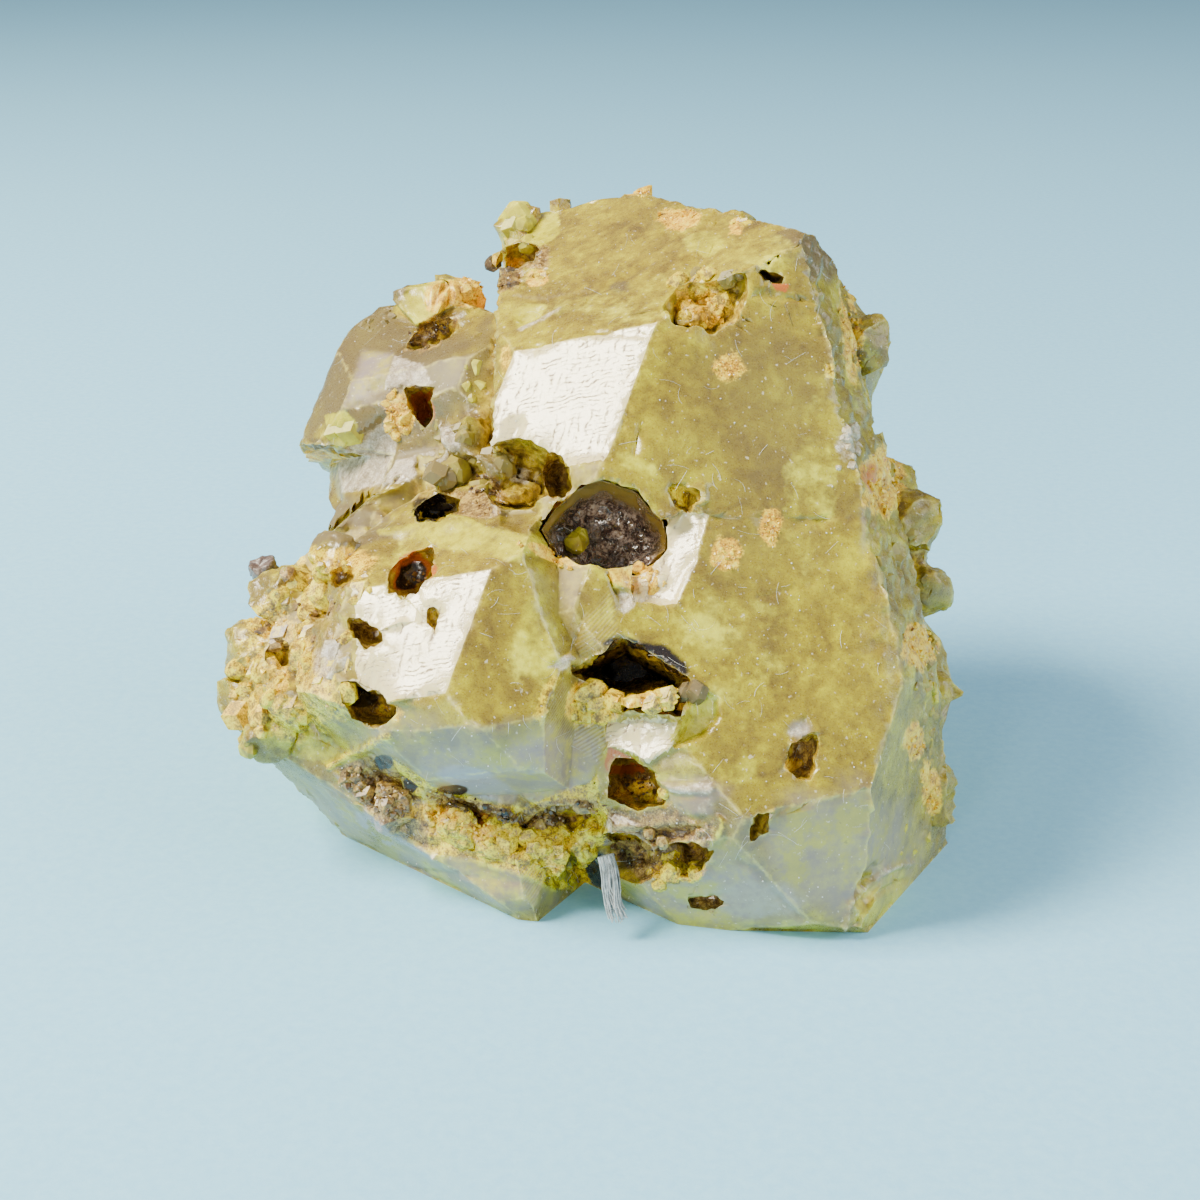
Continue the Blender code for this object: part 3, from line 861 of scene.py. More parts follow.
TOUCHES = tuple(Touch(mark, row[:2], row[2:4], *row[4:]) for mark, rows in {
    # ochre crumbs and stains
    Mark.OCHRE: (
        (771, 527, 12, 19), (726, 555, 19, 18), (728, 369, 18, 13, 0, 0.8), (636, 578, 28, 17),
        (550, 557, 36, 7, -25), (678, 218, 26, 13, 0, 0.7), (738, 226, 9, 10), (400, 416, 14, 24, 0, 0.9),
        (592, 703, 32, 25), (668, 702, 24, 14), (280, 655, 40, 58, 0, 0.4), (345, 560, 34, 18, 0, 0.5),
        (298, 700, 44, 36, 0, 0.4), (470, 826, 46, 14, -15, 0.7), (565, 862, 28, 20, 0, 0.5),
        (675, 872, 30, 14, 0, 0.5), (642, 792, 22, 15, 0, 0.85), (884, 482, 25, 38),
        (852, 330, 13, 52, 8, 0.7), (920, 646, 20, 27, 0, 0.9), (915, 741, 11, 20),
        (932, 790, 11, 30, 10, 0.75), (700, 302, 36, 34, 0, 0.5), (537, 277, 13, 9),
        (458, 292, 36, 15, 0, 0.75), (793, 764, 8, 7), (390, 714, 17, 11, 0, 0.6),
        (418, 812, 22, 12, -30, 0.5), (505, 360, 7, 22, 0, 0.5),
    ),
    # rusty stains
    Mark.RUST: (
        (413, 574, 27, 30), (424, 405, 17, 20, 0, 0.8), (625, 766, 18, 13, 0, 0.85), (783, 288, 8, 5),
        (470, 818, 30, 9, -15, 0.6), (870, 478, 10, 20, 0, 0.55),
    ),
    # brown hollows; the last two patches, on the left intergrowth, are painted shade in its pits
    Mark.BROWN: (
        (603, 537, 56, 40), (555, 478, 20, 24), (487, 498, 20, 26, 0, 0.9), (428, 332, 27, 21, 20, 0.8),
        (536, 258, 15, 13, 0, 0.8), (508, 276, 16, 17, 0, 0.8), (366, 633, 20, 14, -20),
        (340, 578, 16, 13, 0, 0.9), (315, 607, 26, 11, -10, 0.9), (278, 652, 14, 16, 0, 0.7),
        (235, 720, 12, 12, 0, 0.7), (374, 705, 27, 22), (804, 757, 15, 22, 0, 0.9),
        (640, 782, 27, 30, 0, 0.85), (376, 795, 46, 17, -35, 0.8), (705, 903, 20, 8, 0, 0.8),
        (470, 808, 60, 10, -16, 0.7), (556, 812, 48, 14, 12, 0.9), (640, 852, 34, 18, 0, 0.8),
        (452, 502, 48, 18, 0, 0.7), (300, 640, 56, 60, 0, 0.42), (250, 700, 30, 40, 0, 0.42),
    ),
    # dark hollows: painted shade, near-black where the hollows are deepest
    Mark.DARK: (
        (360, 694, 19, 15), (432, 508, 27, 17), (411, 577, 18, 20), (384, 762, 11, 8),
        (409, 787, 9, 7, 0, 0.8), (453, 791, 16, 7), (504, 818, 9, 11, 0, 0.8),
        (602, 872, 16, 20, 0, 0.8), (768, 279, 15, 8, 0, 0.8), (634, 672, 60, 34, 0, 0.9),
    ),
    # greyish olive patches
    Mark.GREY: (
        (447, 745, 15, 21), (433, 621, 8, 13), (405, 638, 9, 14), (621, 286, 12, 7),
        (470, 458, 42, 32, 0, 0.7), (345, 340, 26, 30, 0, 0.6), (260, 610, 26, 40, 0, 0.6),
        (772, 410, 60, 96, -8, 0.55), (765, 450, 125, 190, -8, 0.36), (560, 640, 46, 80, 0, 0.4),
        (333, 392, 24, 52, 0, 0.9), (400, 300, 60, 26, 20, 0.7), (400, 455, 44, 36, 0, 1.0),
        (345, 525, 50, 26, 0, 1.0), (820, 240, 44, 40, 20, 0.9), (385, 370, 95, 120, 0, 1.0),
        (560, 590, 60, 60, 0, 0.3), (395, 380, 50, 40, 0, 0.6), (740, 620, 60, 60, 0, 0.3),
        (486, 350, 14, 44, 0, 0.6),
    ),
    # clear green rims and patches
    Mark.GREEN: (
        (880, 895, 38, 30, 30, 0.7), (815, 480, 34, 110, -10, 0.4), (705, 241, 24, 12, 0, 0.7),
        (300, 742, 64, 20, -25, 0.55), (860, 370, 24, 50, 0, 0.4), (720, 770, 60, 22, 10, 0.45),
        (540, 640, 34, 60, 0, 0.5), (400, 560, 16, 30, 0, 0.5), (745, 925, 10, 6), (788, 925, 9, 6),
        (770, 255, 40, 22, 0, 0.45), (470, 880, 80, 14, -14, 0.5), (480, 540, 90, 18, -8, 0.6),
        (640, 470, 30, 12, -30, 0.5), (640, 300, 110, 40, 0, 0.35), (720, 660, 120, 90, 0, 0.35),
    ),
    # golden crumbly places
    Mark.GOLD: (
        (300, 690, 52, 56, 0, 0.75), (330, 566, 46, 22, 0, 0.8), (270, 640, 36, 50, 0, 0.6),
        (500, 845, 64, 22, -14, 0.8), (680, 868, 30, 16, 0, 0.8), (640, 800, 24, 10, 0, 0.7),
    ),
    # painted reflection of the bluish floor on the lower edges
    Mark.BLUE: (
        (478, 784, 44, 16, -20, 0.7), (380, 828, 36, 12, -35, 0.7), (645, 838, 50, 8, 4, 0.8),
        (760, 900, 60, 24, 0, 0.45),
    ),
    # frosted lower faces, partly a painted reflection of the floor
    Mark.FROST_AND_FLOOR_SHEEN: (
        (552, 768, 62, 42, 0, 1.0), (470, 772, 66, 26, -16, 0.9), (835, 850, 88, 66, 0, 0.75),
        (706, 895, 80, 34, 0, 0.95), (470, 878, 100, 24, -16, 0.7), (330, 812, 50, 24, -30, 0.7),
        (652, 836, 54, 10, 0, 0.9), (800, 728, 13, 10, 0, 0.9), (400, 735, 40, 30, 0, 0.45),
        (690, 790, 40, 16, 0, 0.5),
    ),
    # pale facets; the small ones at (516, 475) and (453, 438) are painted highlights
    Mark.PALE: (
        (328, 660, 22, 22, 0, 0.6), (850, 445, 14, 24, -20, 0.55), (516, 475, 9, 8, 0, 0.9),
        (453, 438, 7, 18, 20, 0.7),
    ),
    # crumbly places
    Mark.GRIT: (
        (300, 655, 90, 100, 0, 0.65), (470, 826, 160, 30, -14, 1.0), (490, 465, 62, 40, 0, 1.0),
        (522, 256, 30, 42, 0, 1.0), (703, 303, 42, 38, 0, 1.0), (440, 302, 52, 30, 0, 0.9),
        (905, 560, 42, 150, 0, 0.9), (860, 340, 30, 100, 10, 0.8), (935, 720, 30, 120, 0, 0.9),
        (675, 845, 48, 40, 0, 1.0), (678, 218, 50, 20, 0, 0.7), (640, 578, 34, 20, 0, 0.9),
        (405, 400, 40, 44, 0, 0.8), (603, 537, 60, 44, 0, 0.5),
    ),
}.items() for row in rows)


# places whose faces get the painted highlight of the key light
BRIGHT_ZONES = (
    ((575, 396), (92, 72)), ((676, 560), (40, 56)), ((643, 738), (42, 24)), ((428, 632), (74, 76)),
)

PATCHES = (
    # the upper left crystal
    Patch(((330, 339), (364, 351), (343, 407), (300, 435), (300, 425), (318, 369)), ((Mark.GREY, 0.4),)),
    Patch(((364, 351), (394, 354), (384, 389), (346, 407)), ((Mark.FROST_AND_FLOOR_SHEEN, 0.9), (Mark.DULL, 1.0))),
    Patch(((394, 354), (420, 362), (435, 382), (384, 389)), ((Mark.PALE, 0.75), (Mark.DULL, 0.8))),
    Patch(((415, 280), (455, 277), (461, 303), (402, 323), (389, 305)), ((Mark.GREEN, 0.8),),
          (-0.3, 0.62, 0.72), 0.2),
    # pale faces near the bright faces' tilt, partly painted highlight
    Patch(((348, 446), (384, 418), (399, 441), (381, 486), (341, 494), (336, 461)),
          ((Mark.PALE, 0.7), (Mark.DULL, 0.9)), (-0.25, 0.1, 0.96), 0.1),
    Patch(((381, 486), (397, 461), (435, 451), (410, 481)), ((Mark.PALE, 1.0), (Mark.STRIATED, 0.7)),
          (-0.35, 0.5, 0.79), 0.1),
    Patch(((343, 494), (397, 490), (422, 466), (437, 478), (415, 499), (389, 517), (343, 502)),
          ((Mark.GREY, 0.5), (Mark.DULL, 0.6)), (0.1, -0.35, 0.93), -0.1),
    Patch(((305, 515), (343, 504), (384, 509), (394, 522), (374, 532), (318, 543), (300, 548)),
          ((Mark.GREY, 0.75), (Mark.DULL, 0.8)), (-0.1, 0.25, 0.96), 0.1),
    Patch(((323, 415), (345, 410), (358, 425), (352, 445), (333, 451)), ((Mark.GREEN, 0.8),)),
    # painted shade on this small face
    Patch(((300, 433), (323, 438), (333, 453), (316, 452)), ((Mark.DARK, 0.4), (Mark.GREY, 0.9))),
    # between it and the main crystal
    Patch(((499, 492), (520, 490), (535, 512), (520, 530), (503, 524)), ((Mark.GREY, 0.5),),
          (0.2, -0.2, 0.96), 0.2),
    # painted highlight on a face tilted like the bright faces
    Patch(((508, 466), (526, 470), (524, 484), (509, 480)), ((Mark.PALE, 1.0),), (-0.39, 0.35, 0.85), 0.3),
    Patch(((494, 421), (512, 416), (524, 424), (515, 441), (500, 444)), ((Mark.GREY, 0.7),),
          (-0.1, 0.2, 0.97), 0.25),
    # the top left shell and its hollow
    Patch(((504, 210), (558, 206), (560, 234), (547, 244), (512, 259), (499, 244)), ((Mark.GREEN, 0.95),)),
    Patch(((519, 244), (550, 246), (548, 267), (522, 266)), ((Mark.BROWN, 0.8), (Mark.PALE, 0.3))),
    # painted shade deepens the hollow under the shell
    Patch(((491, 268), (505, 257), (519, 268), (514, 290), (494, 293)),
          ((Mark.BROWN, 0.9), (Mark.DARK, 0.4))),
    # the top face
    Patch(((512, 313), (524, 303), (546, 305), (540, 318), (520, 330)), ((Mark.GREEN, 1.0),),
          (-0.2, 0.5, 0.84), -0.25, 5.0),
    # around the great hollow
    Patch(((602, 478), (633, 491), (656, 505), (663, 530), (650, 512), (625, 497)), ((Mark.GREEN, 0.5),)),
    Patch(((610, 572), (622, 569), (635, 578), (632, 592), (617, 596)), ((Mark.GREEN, 1.0),),
          (0.2, 0.3, 0.93), 0.6, 3.0),
    # painted highlight on a face tilted like the bright faces
    Patch(((619, 598), (641, 600), (636, 610), (622, 616)), ((Mark.PALE, 0.9),), (-0.39, 0.35, 0.85), 0.3),
    Patch(((670, 488), (684, 486), (690, 500), (687, 516), (672, 508)), ((Mark.GOLD, 0.6),),
          (0.75, 0.1, 0.65), 0.0),
    # painted highlight of the key light on faces that mirror it
    Patch(((610, 733), (627, 719), (666, 718), (670, 738), (675, 747), (608, 752)), ((Mark.BRIGHT, 1.0),),
          (-0.39, 0.35, 0.85), 0.1, 3.0),
    Patch(((684, 518), (704, 518), (690, 568), (676, 603), (647, 603), (653, 593), (667, 587), (666, 573),
           (661, 562), (671, 534)), ((Mark.BRIGHT, 1.0),), (-0.39, 0.35, 0.85), 0.0, 3.0),
    # beside and under the black hole
    Patch(((691, 681), (717, 698), (719, 718), (704, 736), (676, 745), (688, 718)), ((Mark.GREEN, 0.55),),
          (-0.05, 0.0, 1.0), -0.3),
    Patch(((548, 667), (569, 653), (579, 659), (562, 671)), ((Mark.PALE, 0.8),), (0.35, -0.1, 0.93), 0.3),
    Patch(((562, 677), (587, 715), (610, 731), (606, 766), (541, 726)),
          ((Mark.STRIATED, 1.0), (Mark.GREEN, 0.3))),
    Patch(((587, 616), (612, 598), (620, 636), (602, 644), (579, 659), (574, 644)),
          ((Mark.STRIATED, 0.9), (Mark.GREEN, 0.35))),
    Patch(((562, 677), (541, 726), (532, 716), (548, 672)), ((Mark.GOLD, 0.55),)),
    # the seam
    Patch(((392, 758), (434, 788), (485, 802), (523, 807), (577, 785), (604, 776), (612, 820), (598, 862),
           (587, 892), (555, 889), (517, 872), (469, 857), (434, 855), (400, 836)),
          ((Mark.GOLD, 0.8), (Mark.GRIT, 1.0))),
    Patch(((335, 767), (373, 755), (404, 778), (430, 812), (428, 850), (392, 834), (364, 808)),
          ((Mark.BROWN, 0.85), (Mark.GRIT, 1.0))),
    Patch(((606, 800), (640, 811), (668, 800), (700, 826), (714, 818), (712, 843), (698, 880), (640, 884),
           (616, 850)), ((Mark.BROWN, 0.7), (Mark.GRIT, 1.0))),
    # the lower hollow, the ledge and what is under it
    Patch(((614, 752), (635, 757), (649, 767), (640, 772), (612, 768)), ((Mark.RUST, 0.75),)),
    Patch(((614, 805), (638, 819), (635, 828), (603, 828)), ((Mark.PALE, 0.9),), (-0.3, 0.5, 0.81), 0.5),
    # painted reflection of the floor under the ledge
    Patch(((590, 837), (603, 828), (635, 829), (699, 827), (683, 840), (619, 845)),
          ((Mark.BLUE, 0.9), (Mark.FROST_AND_FLOOR_SHEEN, 0.6)), (0.0, -0.3, 0.95), 0.5),
    Patch(((673, 784), (714, 785), (712, 794), (676, 794)), ((Mark.PALE, 0.7),), None, 0.35),
    Patch(((670, 797), (716, 795), (712, 814), (676, 816)), ((Mark.FROST_AND_FLOOR_SHEEN, 0.6), (Mark.PALE, 0.3)), None, 0.2),
    Patch(((787, 731), (806, 718), (812, 728), (791, 740)), ((Mark.PALE, 0.55),), (0.1, 0.35, 0.93), 0.0),
    # the right edge
    Patch(((825, 364), (837, 365), (837, 377), (826, 377)), ((Mark.GOLD, 1.0),)),
)

DRUSE = ((548, 535), (556, 517), (578, 503), (605, 500), (640, 512), (657, 535), (656, 565), (630, 580),
         (600, 580), (574, 574), (552, 558))
RIMS = (
    Rim((604, 536), 10.6, (4.7, 3.5), -0.16,
        ((538, 530), (552, 506), (574, 486), (600, 476), (640, 490), (668, 520), (673, 552), (656, 570),
        (628, 579), (600, 577), (574, 571), (548, 556)), 9.0),
    Rim((556, 474), 9.8, (1.6, 2.0), 0.0,
        ((538, 470), (548, 453), (561, 454), (572, 470), (578, 492), (564, 502), (546, 498), (539, 486))),
    Rim((438, 508), 7.4, (1.9, 1.3), 0.0,
        ((415, 508), (422, 498), (436, 491), (463, 499), (458, 514), (436, 522), (416, 522))),
    Rim((413, 574), 12.2, (2.0, 2.2), 0.0,
        ((387, 574), (394, 560), (412, 548), (432, 546), (440, 566), (434, 590), (420, 602), (396, 599),
        (386, 590))),
    Rim((374, 705), 14.6, (2.3, 1.9), -0.3,
        ((341, 679), (355, 679), (380, 700), (405, 707), (402, 724), (374, 729), (352, 718), (341, 696))),
    Rim((366, 633), 14.0, (1.6, 1.1), -0.4,
        ((345, 617), (363, 619), (386, 633), (384, 646), (366, 648), (350, 636))),
    Rim((337, 578), 10.6, (1.3, 1.15), 0.0,
        ((328, 567), (348, 563), (356, 578), (342, 591), (326, 583))),
    Rim((804, 757), 16.2, (1.1, 1.6), -0.3,
        ((791, 741), (816, 733), (820, 747), (811, 779), (796, 779), (785, 769))),
    Rim((760, 826), 16.8, (0.9, 1.2), -0.3,
        ((757, 811), (772, 812), (768, 833), (749, 842), (750, 826))),
    Rim((641, 780), 13.8, (2.0, 2.0), 0.0,
        ((614, 752), (635, 756), (650, 768), (668, 797), (664, 806), (638, 811), (606, 799), (605, 776))),
    Rim((705, 903), 12.4, (1.4, 0.7), 0.0,
        ((686, 896), (722, 893), (724, 904), (706, 912), (688, 909))),
    Rim((685, 503), 13.4, (1.1, 1.3), 0.0,
        ((668, 489), (684, 486), (702, 487), (702, 502), (688, 517), (673, 507))),
    Rim((703, 305), 9.4, (3.1, 2.8), -0.2,
        ((662, 305), (668, 282), (684, 270), (712, 274), (748, 272), (752, 288), (738, 322), (716, 342),
        (694, 330), (668, 330))),
    Rim((768, 279), 8.6, (1.2, 0.8), 0.0,
        ((748, 274), (764, 270), (784, 276), (786, 284), (770, 284), (756, 287))),
    Rim((421, 405), 1.8, (1.4, 1.7), -0.3,
        ((404, 388), (434, 386), (435, 424), (422, 428), (410, 410))),
    Rim((430, 330), -2.0, (2.3, 1.9), -0.4,
        ((404, 348), (414, 330), (434, 313), (462, 312), (460, 332), (444, 352), (422, 354))),
    Rim((433, 621), 16.1, (0.5, 0.7), 0.0,
        ((428, 610), (436, 612), (440, 624), (435, 632), (428, 624))),
)

STROKES = (
    # the rims marked as edges are raised and get the painted edge highlight
    Stroke(((574, 464), (602, 478), (633, 491), (656, 505), (668, 522), (667, 545)), 4, 0.12, Mark.EDGE),
    Stroke(((691, 681), (717, 698), (720, 718), (704, 737), (676, 746)), 4, 0.12, Mark.EDGE),
    Stroke(((676, 746), (640, 751), (608, 753)), 4, 0.1, Mark.EDGE),
    Stroke(((752, 295), (780, 297), (809, 300)), 4, -0.25),
    Stroke(((810, 245), (819, 300), (822, 330)), 4, 0.15, Mark.EDGE),
    Stroke(((380, 532), (428, 522), (449, 518), (469, 521), (486, 531), (533, 542), (546, 555), (580, 567),
            (610, 588)), 7, 0.1, Mark.GREEN),
    Stroke(((519, 331), (540, 322), (561, 310)), 5, 0.2, Mark.PALE, 0.6),
    Stroke(((364, 351), (352, 384), (344, 407)), 4, 0.15, Mark.EDGE),
    Stroke(((610, 583), (614, 592), (619, 601)), 3, -0.3),
    Stroke(((582, 618), (576, 640), (566, 652)), 3, -0.15),
    Stroke(((329, 767), (352, 752), (375, 745), (393, 738)), 6, 0.3, Mark.GOLD),
    Stroke(((721, 818), (722, 830), (711, 843), (705, 872), (692, 881)), 4, 0.3, Mark.GREEN),
    Stroke(((737, 859), (762, 877), (788, 907), (799, 920)), 3, -0.2),
    Stroke(((845, 928), (850, 905), (866, 885), (890, 868), (912, 862)), 5, 0.3, Mark.PALE, 0.5),
    Stroke(((858, 925), (866, 905), (884, 890), (905, 880)), 4, -0.25),
    Stroke(((772, 812), (771, 826), (760, 841)), 4, 0.25, Mark.EDGE),
    Stroke(((701, 487), (704, 501), (689, 517)), 4, 0.25, Mark.EDGE),
    Stroke(((473, 300), (500, 296), (540, 300), (600, 290), (650, 262)), 5, -0.18),
    Stroke(((500, 345), (530, 336), (580, 330), (650, 336)), 4, -0.12),
    Stroke(((755, 598), (780, 592), (814, 583)), 2, -0.1),
    Stroke(((402, 869), (434, 872), (480, 878), (530, 884), (560, 880)), 5, -0.15),
    Stroke(((434, 857), (470, 860), (517, 873), (555, 890)), 6, 0.15, Mark.GREEN, 0.6),
    # painted reflection of the floor along the lower rim
    Stroke(((335, 773), (364, 808), (392, 834), (434, 857)), 6, 0.15, Mark.BLUE, 0.6),
    # painted highlights along two glassy ridges
    Stroke(((441, 425), (452, 445), (446, 461)), 6, 0.4, Mark.PALE, 0.6),
    Stroke(((466, 450), (485, 460), (500, 474)), 5, 0.4, Mark.PALE, 0.5),
)


def shape_rims(mesh: bmesh.types.BMesh, rims: Sequence[Rim]) -> None:
    """Give plain oval hollows the outlines that they have in the picture.

    Args:
        mesh: A fine mesh in display millimetres.
        rims: The hollows.
    """
    mesh.verts.ensure_lookup_table()
    seen = DISPLAY.pictures(np.array([vert.co for vert in mesh.verts]))
    for rim in rims:
        away = seen[:, :2] - np.array(rim.picture)
        far = np.hypot(*away.T)
        rows = np.nonzero((far < RIM_REACH) & (seen[:, 2] > rim.depth - rim.floor))[0]
        angles = np.arctan2(away[rows, 1], away[rows, 0])
        oval, outline = rim.reach(angles)
        fade = 1.0 - smooth_step(far[rows] / oval, 1.05, 1.75)
        grow = (np.clip(outline / oval, 0.55, 1.6) - 1.0) * fade
        for row, share in zip(rows, grow):
            scale = (DISPLAY.eye_distance - seen[row, 2]) / DISPLAY.focus
            mesh.verts[row].co += Vector((away[row, 0], -away[row, 1], 0.0)) * (scale * share)


@dataclass
class GarnetBody:
    """The grown cluster with chipped edges that carry a painted highlight, hollows with stains and painted
    shade, and crumbly breaks.
    """
    fine_edge: float = 0.64
    flat_edge: float = 1.1
    coarse_edge: float = 1.7
    flat_area: float = 5.0
    seen_slack: float = 2.4
    cell: float = 8.0
    chip_reach: float = 0.8
    chip_depth: float = 0.24
    close_edge: float = 0.44
    close_reach: float = 8.0
    most_lift: float = 1.1
    rays: int = 10
    cover_reach: float = 5.0
    bright_limit: float = 0.9992
    sliver: float = 0.2
    long_edge: float = 2.4
    step_length: float = 8.0
    step_height: float = 0.12
    crease: float = 19.0
    ridge_angle: float = 0.25
    ridge_step: float = 0.25
    merge: float = 0.03
    most_move: float = 0.7
    floor_gap: float = 0.05
    marks: dict[Mark, np.ndarray] = field(default_factory=dict)
    close: np.ndarray = field(default_factory=lambda: np.zeros(0))
    calm: np.ndarray = field(default_factory=lambda: np.zeros(0))
    bright: np.ndarray = field(default_factory=lambda: np.zeros(0))

    def edge_limit(self, places: np.ndarray) -> np.ndarray:
        """Return the longest edge at places: short on fine forms, longer on flat faces and behind.

        Args:
            places: Rows of display places.

        Returns:
            The longest edge at each.
        """
        seen = DISPLAY.pictures(places)
        cells = np.clip((seen[:, :2] / self.cell).astype(int), 0, len(self.close) - 1)
        near = self.close[cells[:, 0], cells[:, 1]]
        behind = np.clip((-4.0 - seen[:, 2]) / 8.0, 0.0, 1.0)
        return near + (self.coarse_edge - near) * behind

    def plan(self, ridge: Sequence[Vector]) -> np.ndarray:
        """Plan how fine the mesh is.

        Args:
            ridge: Points along the sharp edges.

        Returns:
            The longest edge for each cell of the picture.
        """
        side = int(DISPLAY.side / self.cell)
        grid = np.stack(np.meshgrid(np.arange(side), np.arange(side), indexing="ij"), axis=-1).reshape(-1, 2)
        middles = (grid + 0.5) * self.cell
        limits = np.full(len(grid), self.flat_edge)
        for touch in TOUCHES:
            if touch.mark is Mark.GRIT:
                away = (middles - np.array(touch.picture)) / np.array(touch.radii)
                limits[np.hypot(*away.T) < 1.1] = self.fine_edge
        seen = DISPLAY.pictures(np.array([point for point in ridge if point.z > -5.0]))
        rows = (seen[:, :2] / self.cell).astype(int) @ np.array((side, 1))
        limits[np.clip(rows, 0, len(limits) - 1)] = self.fine_edge
        near = np.full(len(grid), 1e6)
        for patch in PATCHES:
            near = np.minimum(near, line_distance(middles, patch.corners, True))
        for stroke in STROKES:
            near = np.minimum(near, line_distance(middles, stroke.points))
        for rim in RIMS:
            near = np.minimum(near, line_distance(middles, rim.corners, True))
        limits[near < self.close_reach] = self.close_edge
        return limits.reshape(side, side)

    def shape(self) -> tuple[bmesh.types.BMesh, list[Vector]]:
        """Refine the node's mesh.

        Returns:
            The fine mesh, whose faces know if they are flat, and points along its sharp edges.
        """
        mesh = node_mesh("garnet_cluster")
        bmesh.ops.dissolve_limit(mesh, angle_limit=SAME_PLANE, verts=mesh.verts[:], edges=mesh.edges[:])
        self.level_steps(mesh)
        flat = mesh.faces.layers.float.new("flat")
        for face in mesh.faces:
            area, longest = face.calc_area(), max(edge.calc_length() for edge in face.edges)
            thin = longest > self.long_edge and area < self.sliver * longest
            face[flat] = 0.75 if thin else float(area > self.flat_area)
        ridge = []
        for edge in mesh.edges:
            faces = edge.link_faces
            length = edge.calc_length()
            if len(faces) == 2 and edge.is_convex and edge.calc_face_angle(0.0) > self.ridge_angle \
                    and max(face[flat] for face in faces) > 0.5 \
                    and min(face.calc_area() for face in faces) > self.sliver * length:
                start, end = (vert.co for vert in edge.verts)
                steps = max(1, int((end - start).length / self.ridge_step))
                ridge += [start.lerp(end, step / steps) for step in range(steps + 1)]
        bmesh.ops.triangulate(mesh, faces=mesh.faces[:])
        self.close = self.plan(ridge)
        refine(mesh, self.edge_limit)
        bmesh.ops.remove_doubles(mesh, verts=mesh.verts[:], dist=self.merge)
        return mesh, ridge

    def level_steps(self, mesh: bmesh.types.BMesh) -> None:
        """Level the hair-thin steps that run across a whole face.

        Args:
            mesh: The node's mesh.
        """
        for face in mesh.faces:
            longest = max(edge.calc_length() for edge in face.edges)
            if longest < self.step_length or face.calc_area() > self.step_height * longest:
                continue
            for vert in face.verts:
                twin = min((other for other in face.verts if other is not vert),
                           key=lambda other: (other.co - vert.co).length)
                if (twin.co - vert.co).length < 1.5 * self.step_height:
                    twin.co = vert.co = (vert.co + twin.co) / 2

    def touch(self, points: np.ndarray) -> np.ndarray:
        """Lay the colour marks on what the eye sees.

        Args:
            points: The mesh's points in display millimetres.

        Returns:
            How near each point is to what the eye sees, 1 or 0.
        """
        seen = DISPLAY.pictures(points)
        cells = np.floor(seen[:, :2] / self.cell).astype(int)
        cells -= cells.min(axis=0)
        front = np.full(cells.max(axis=0) + 1, -1e3)
        np.maximum.at(front, (cells[:, 0], cells[:, 1]), seen[:, 2])
        near = seen[:, 2] > front[cells[:, 0], cells[:, 1]] - self.seen_slack
        wobble = np.array([noise.noise(Vector(point) * 0.55) for point in points])
        for touch in TOUCHES:
            turn = math.radians(touch.turn)
            away = seen[:, :2] - np.array(touch.picture)
            across = (away[:, 0] * math.cos(turn) - away[:, 1] * math.sin(turn)) / touch.radii[0]
            down = (away[:, 0] * math.sin(turn) + away[:, 1] * math.cos(turn)) / touch.radii[1]
            far = np.hypot(across, down) + wobble * 0.3
            value = (1.0 - smooth_step(far, 0.6, 1.2)) * touch.strength * near
            self.marks[touch.mark] = np.maximum(self.marks[touch.mark], value)
        return near.astype(float)

    def carve(self, mesh: bmesh.types.BMesh, seen: np.ndarray, near: np.ndarray) -> np.ndarray:
        """Cut the patches' flat faces, and find the strokes' relief.

        Args:
            mesh: The fine mesh.
            seen: Each point's picture place.
            near: How near each point is to what the eye sees.

        Returns:
            The relief along each point's normal in millimetres.
        """
        lift = np.zeros(len(near))
        eye = Vector((0.0, 0.0, DISPLAY.eye_distance))
        for patch in PATCHES:
            share = smooth_step(inside_distance(seen[:, :2], patch.corners), -patch.soft, patch.soft) * near
            for mark, strength in patch.marks:
                self.marks[mark] = np.maximum(self.marks[mark], share * strength)
            if patch.aim is None:
                lift += share * patch.lift
                continue
            rows = np.nonzero(share > 0.01)[0]
            places = [mesh.verts[row].co.copy() for row in rows]
            if not places:
                continue
            aim = Vector(patch.aim).normalized()
            level = float(np.mean([place.dot(aim) for place in places])) + patch.lift
            for row, place in zip(rows, places):
                way = (eye - place).normalized()
                move = max(-self.most_lift, min(self.most_lift, (level - place.dot(aim)) / way.dot(aim)))
                mesh.verts[row].co = place + way * (move * share[row])
            for mark in (Mark.GRIT, Mark.BROKEN):
                self.marks[mark] *= 1.0 - share * 0.75
            self.calm = np.maximum(self.calm, share)
        for stroke in STROKES:
            share = 1.0 - smooth_step(line_distance(seen[:, :2], stroke.points), 0.0, stroke.width)
            lift += share * near * stroke.height
            if stroke.mark is not None:
                self.marks[stroke.mark] = np.maximum(self.marks[stroke.mark], share * near * stroke.strength)
        return lift

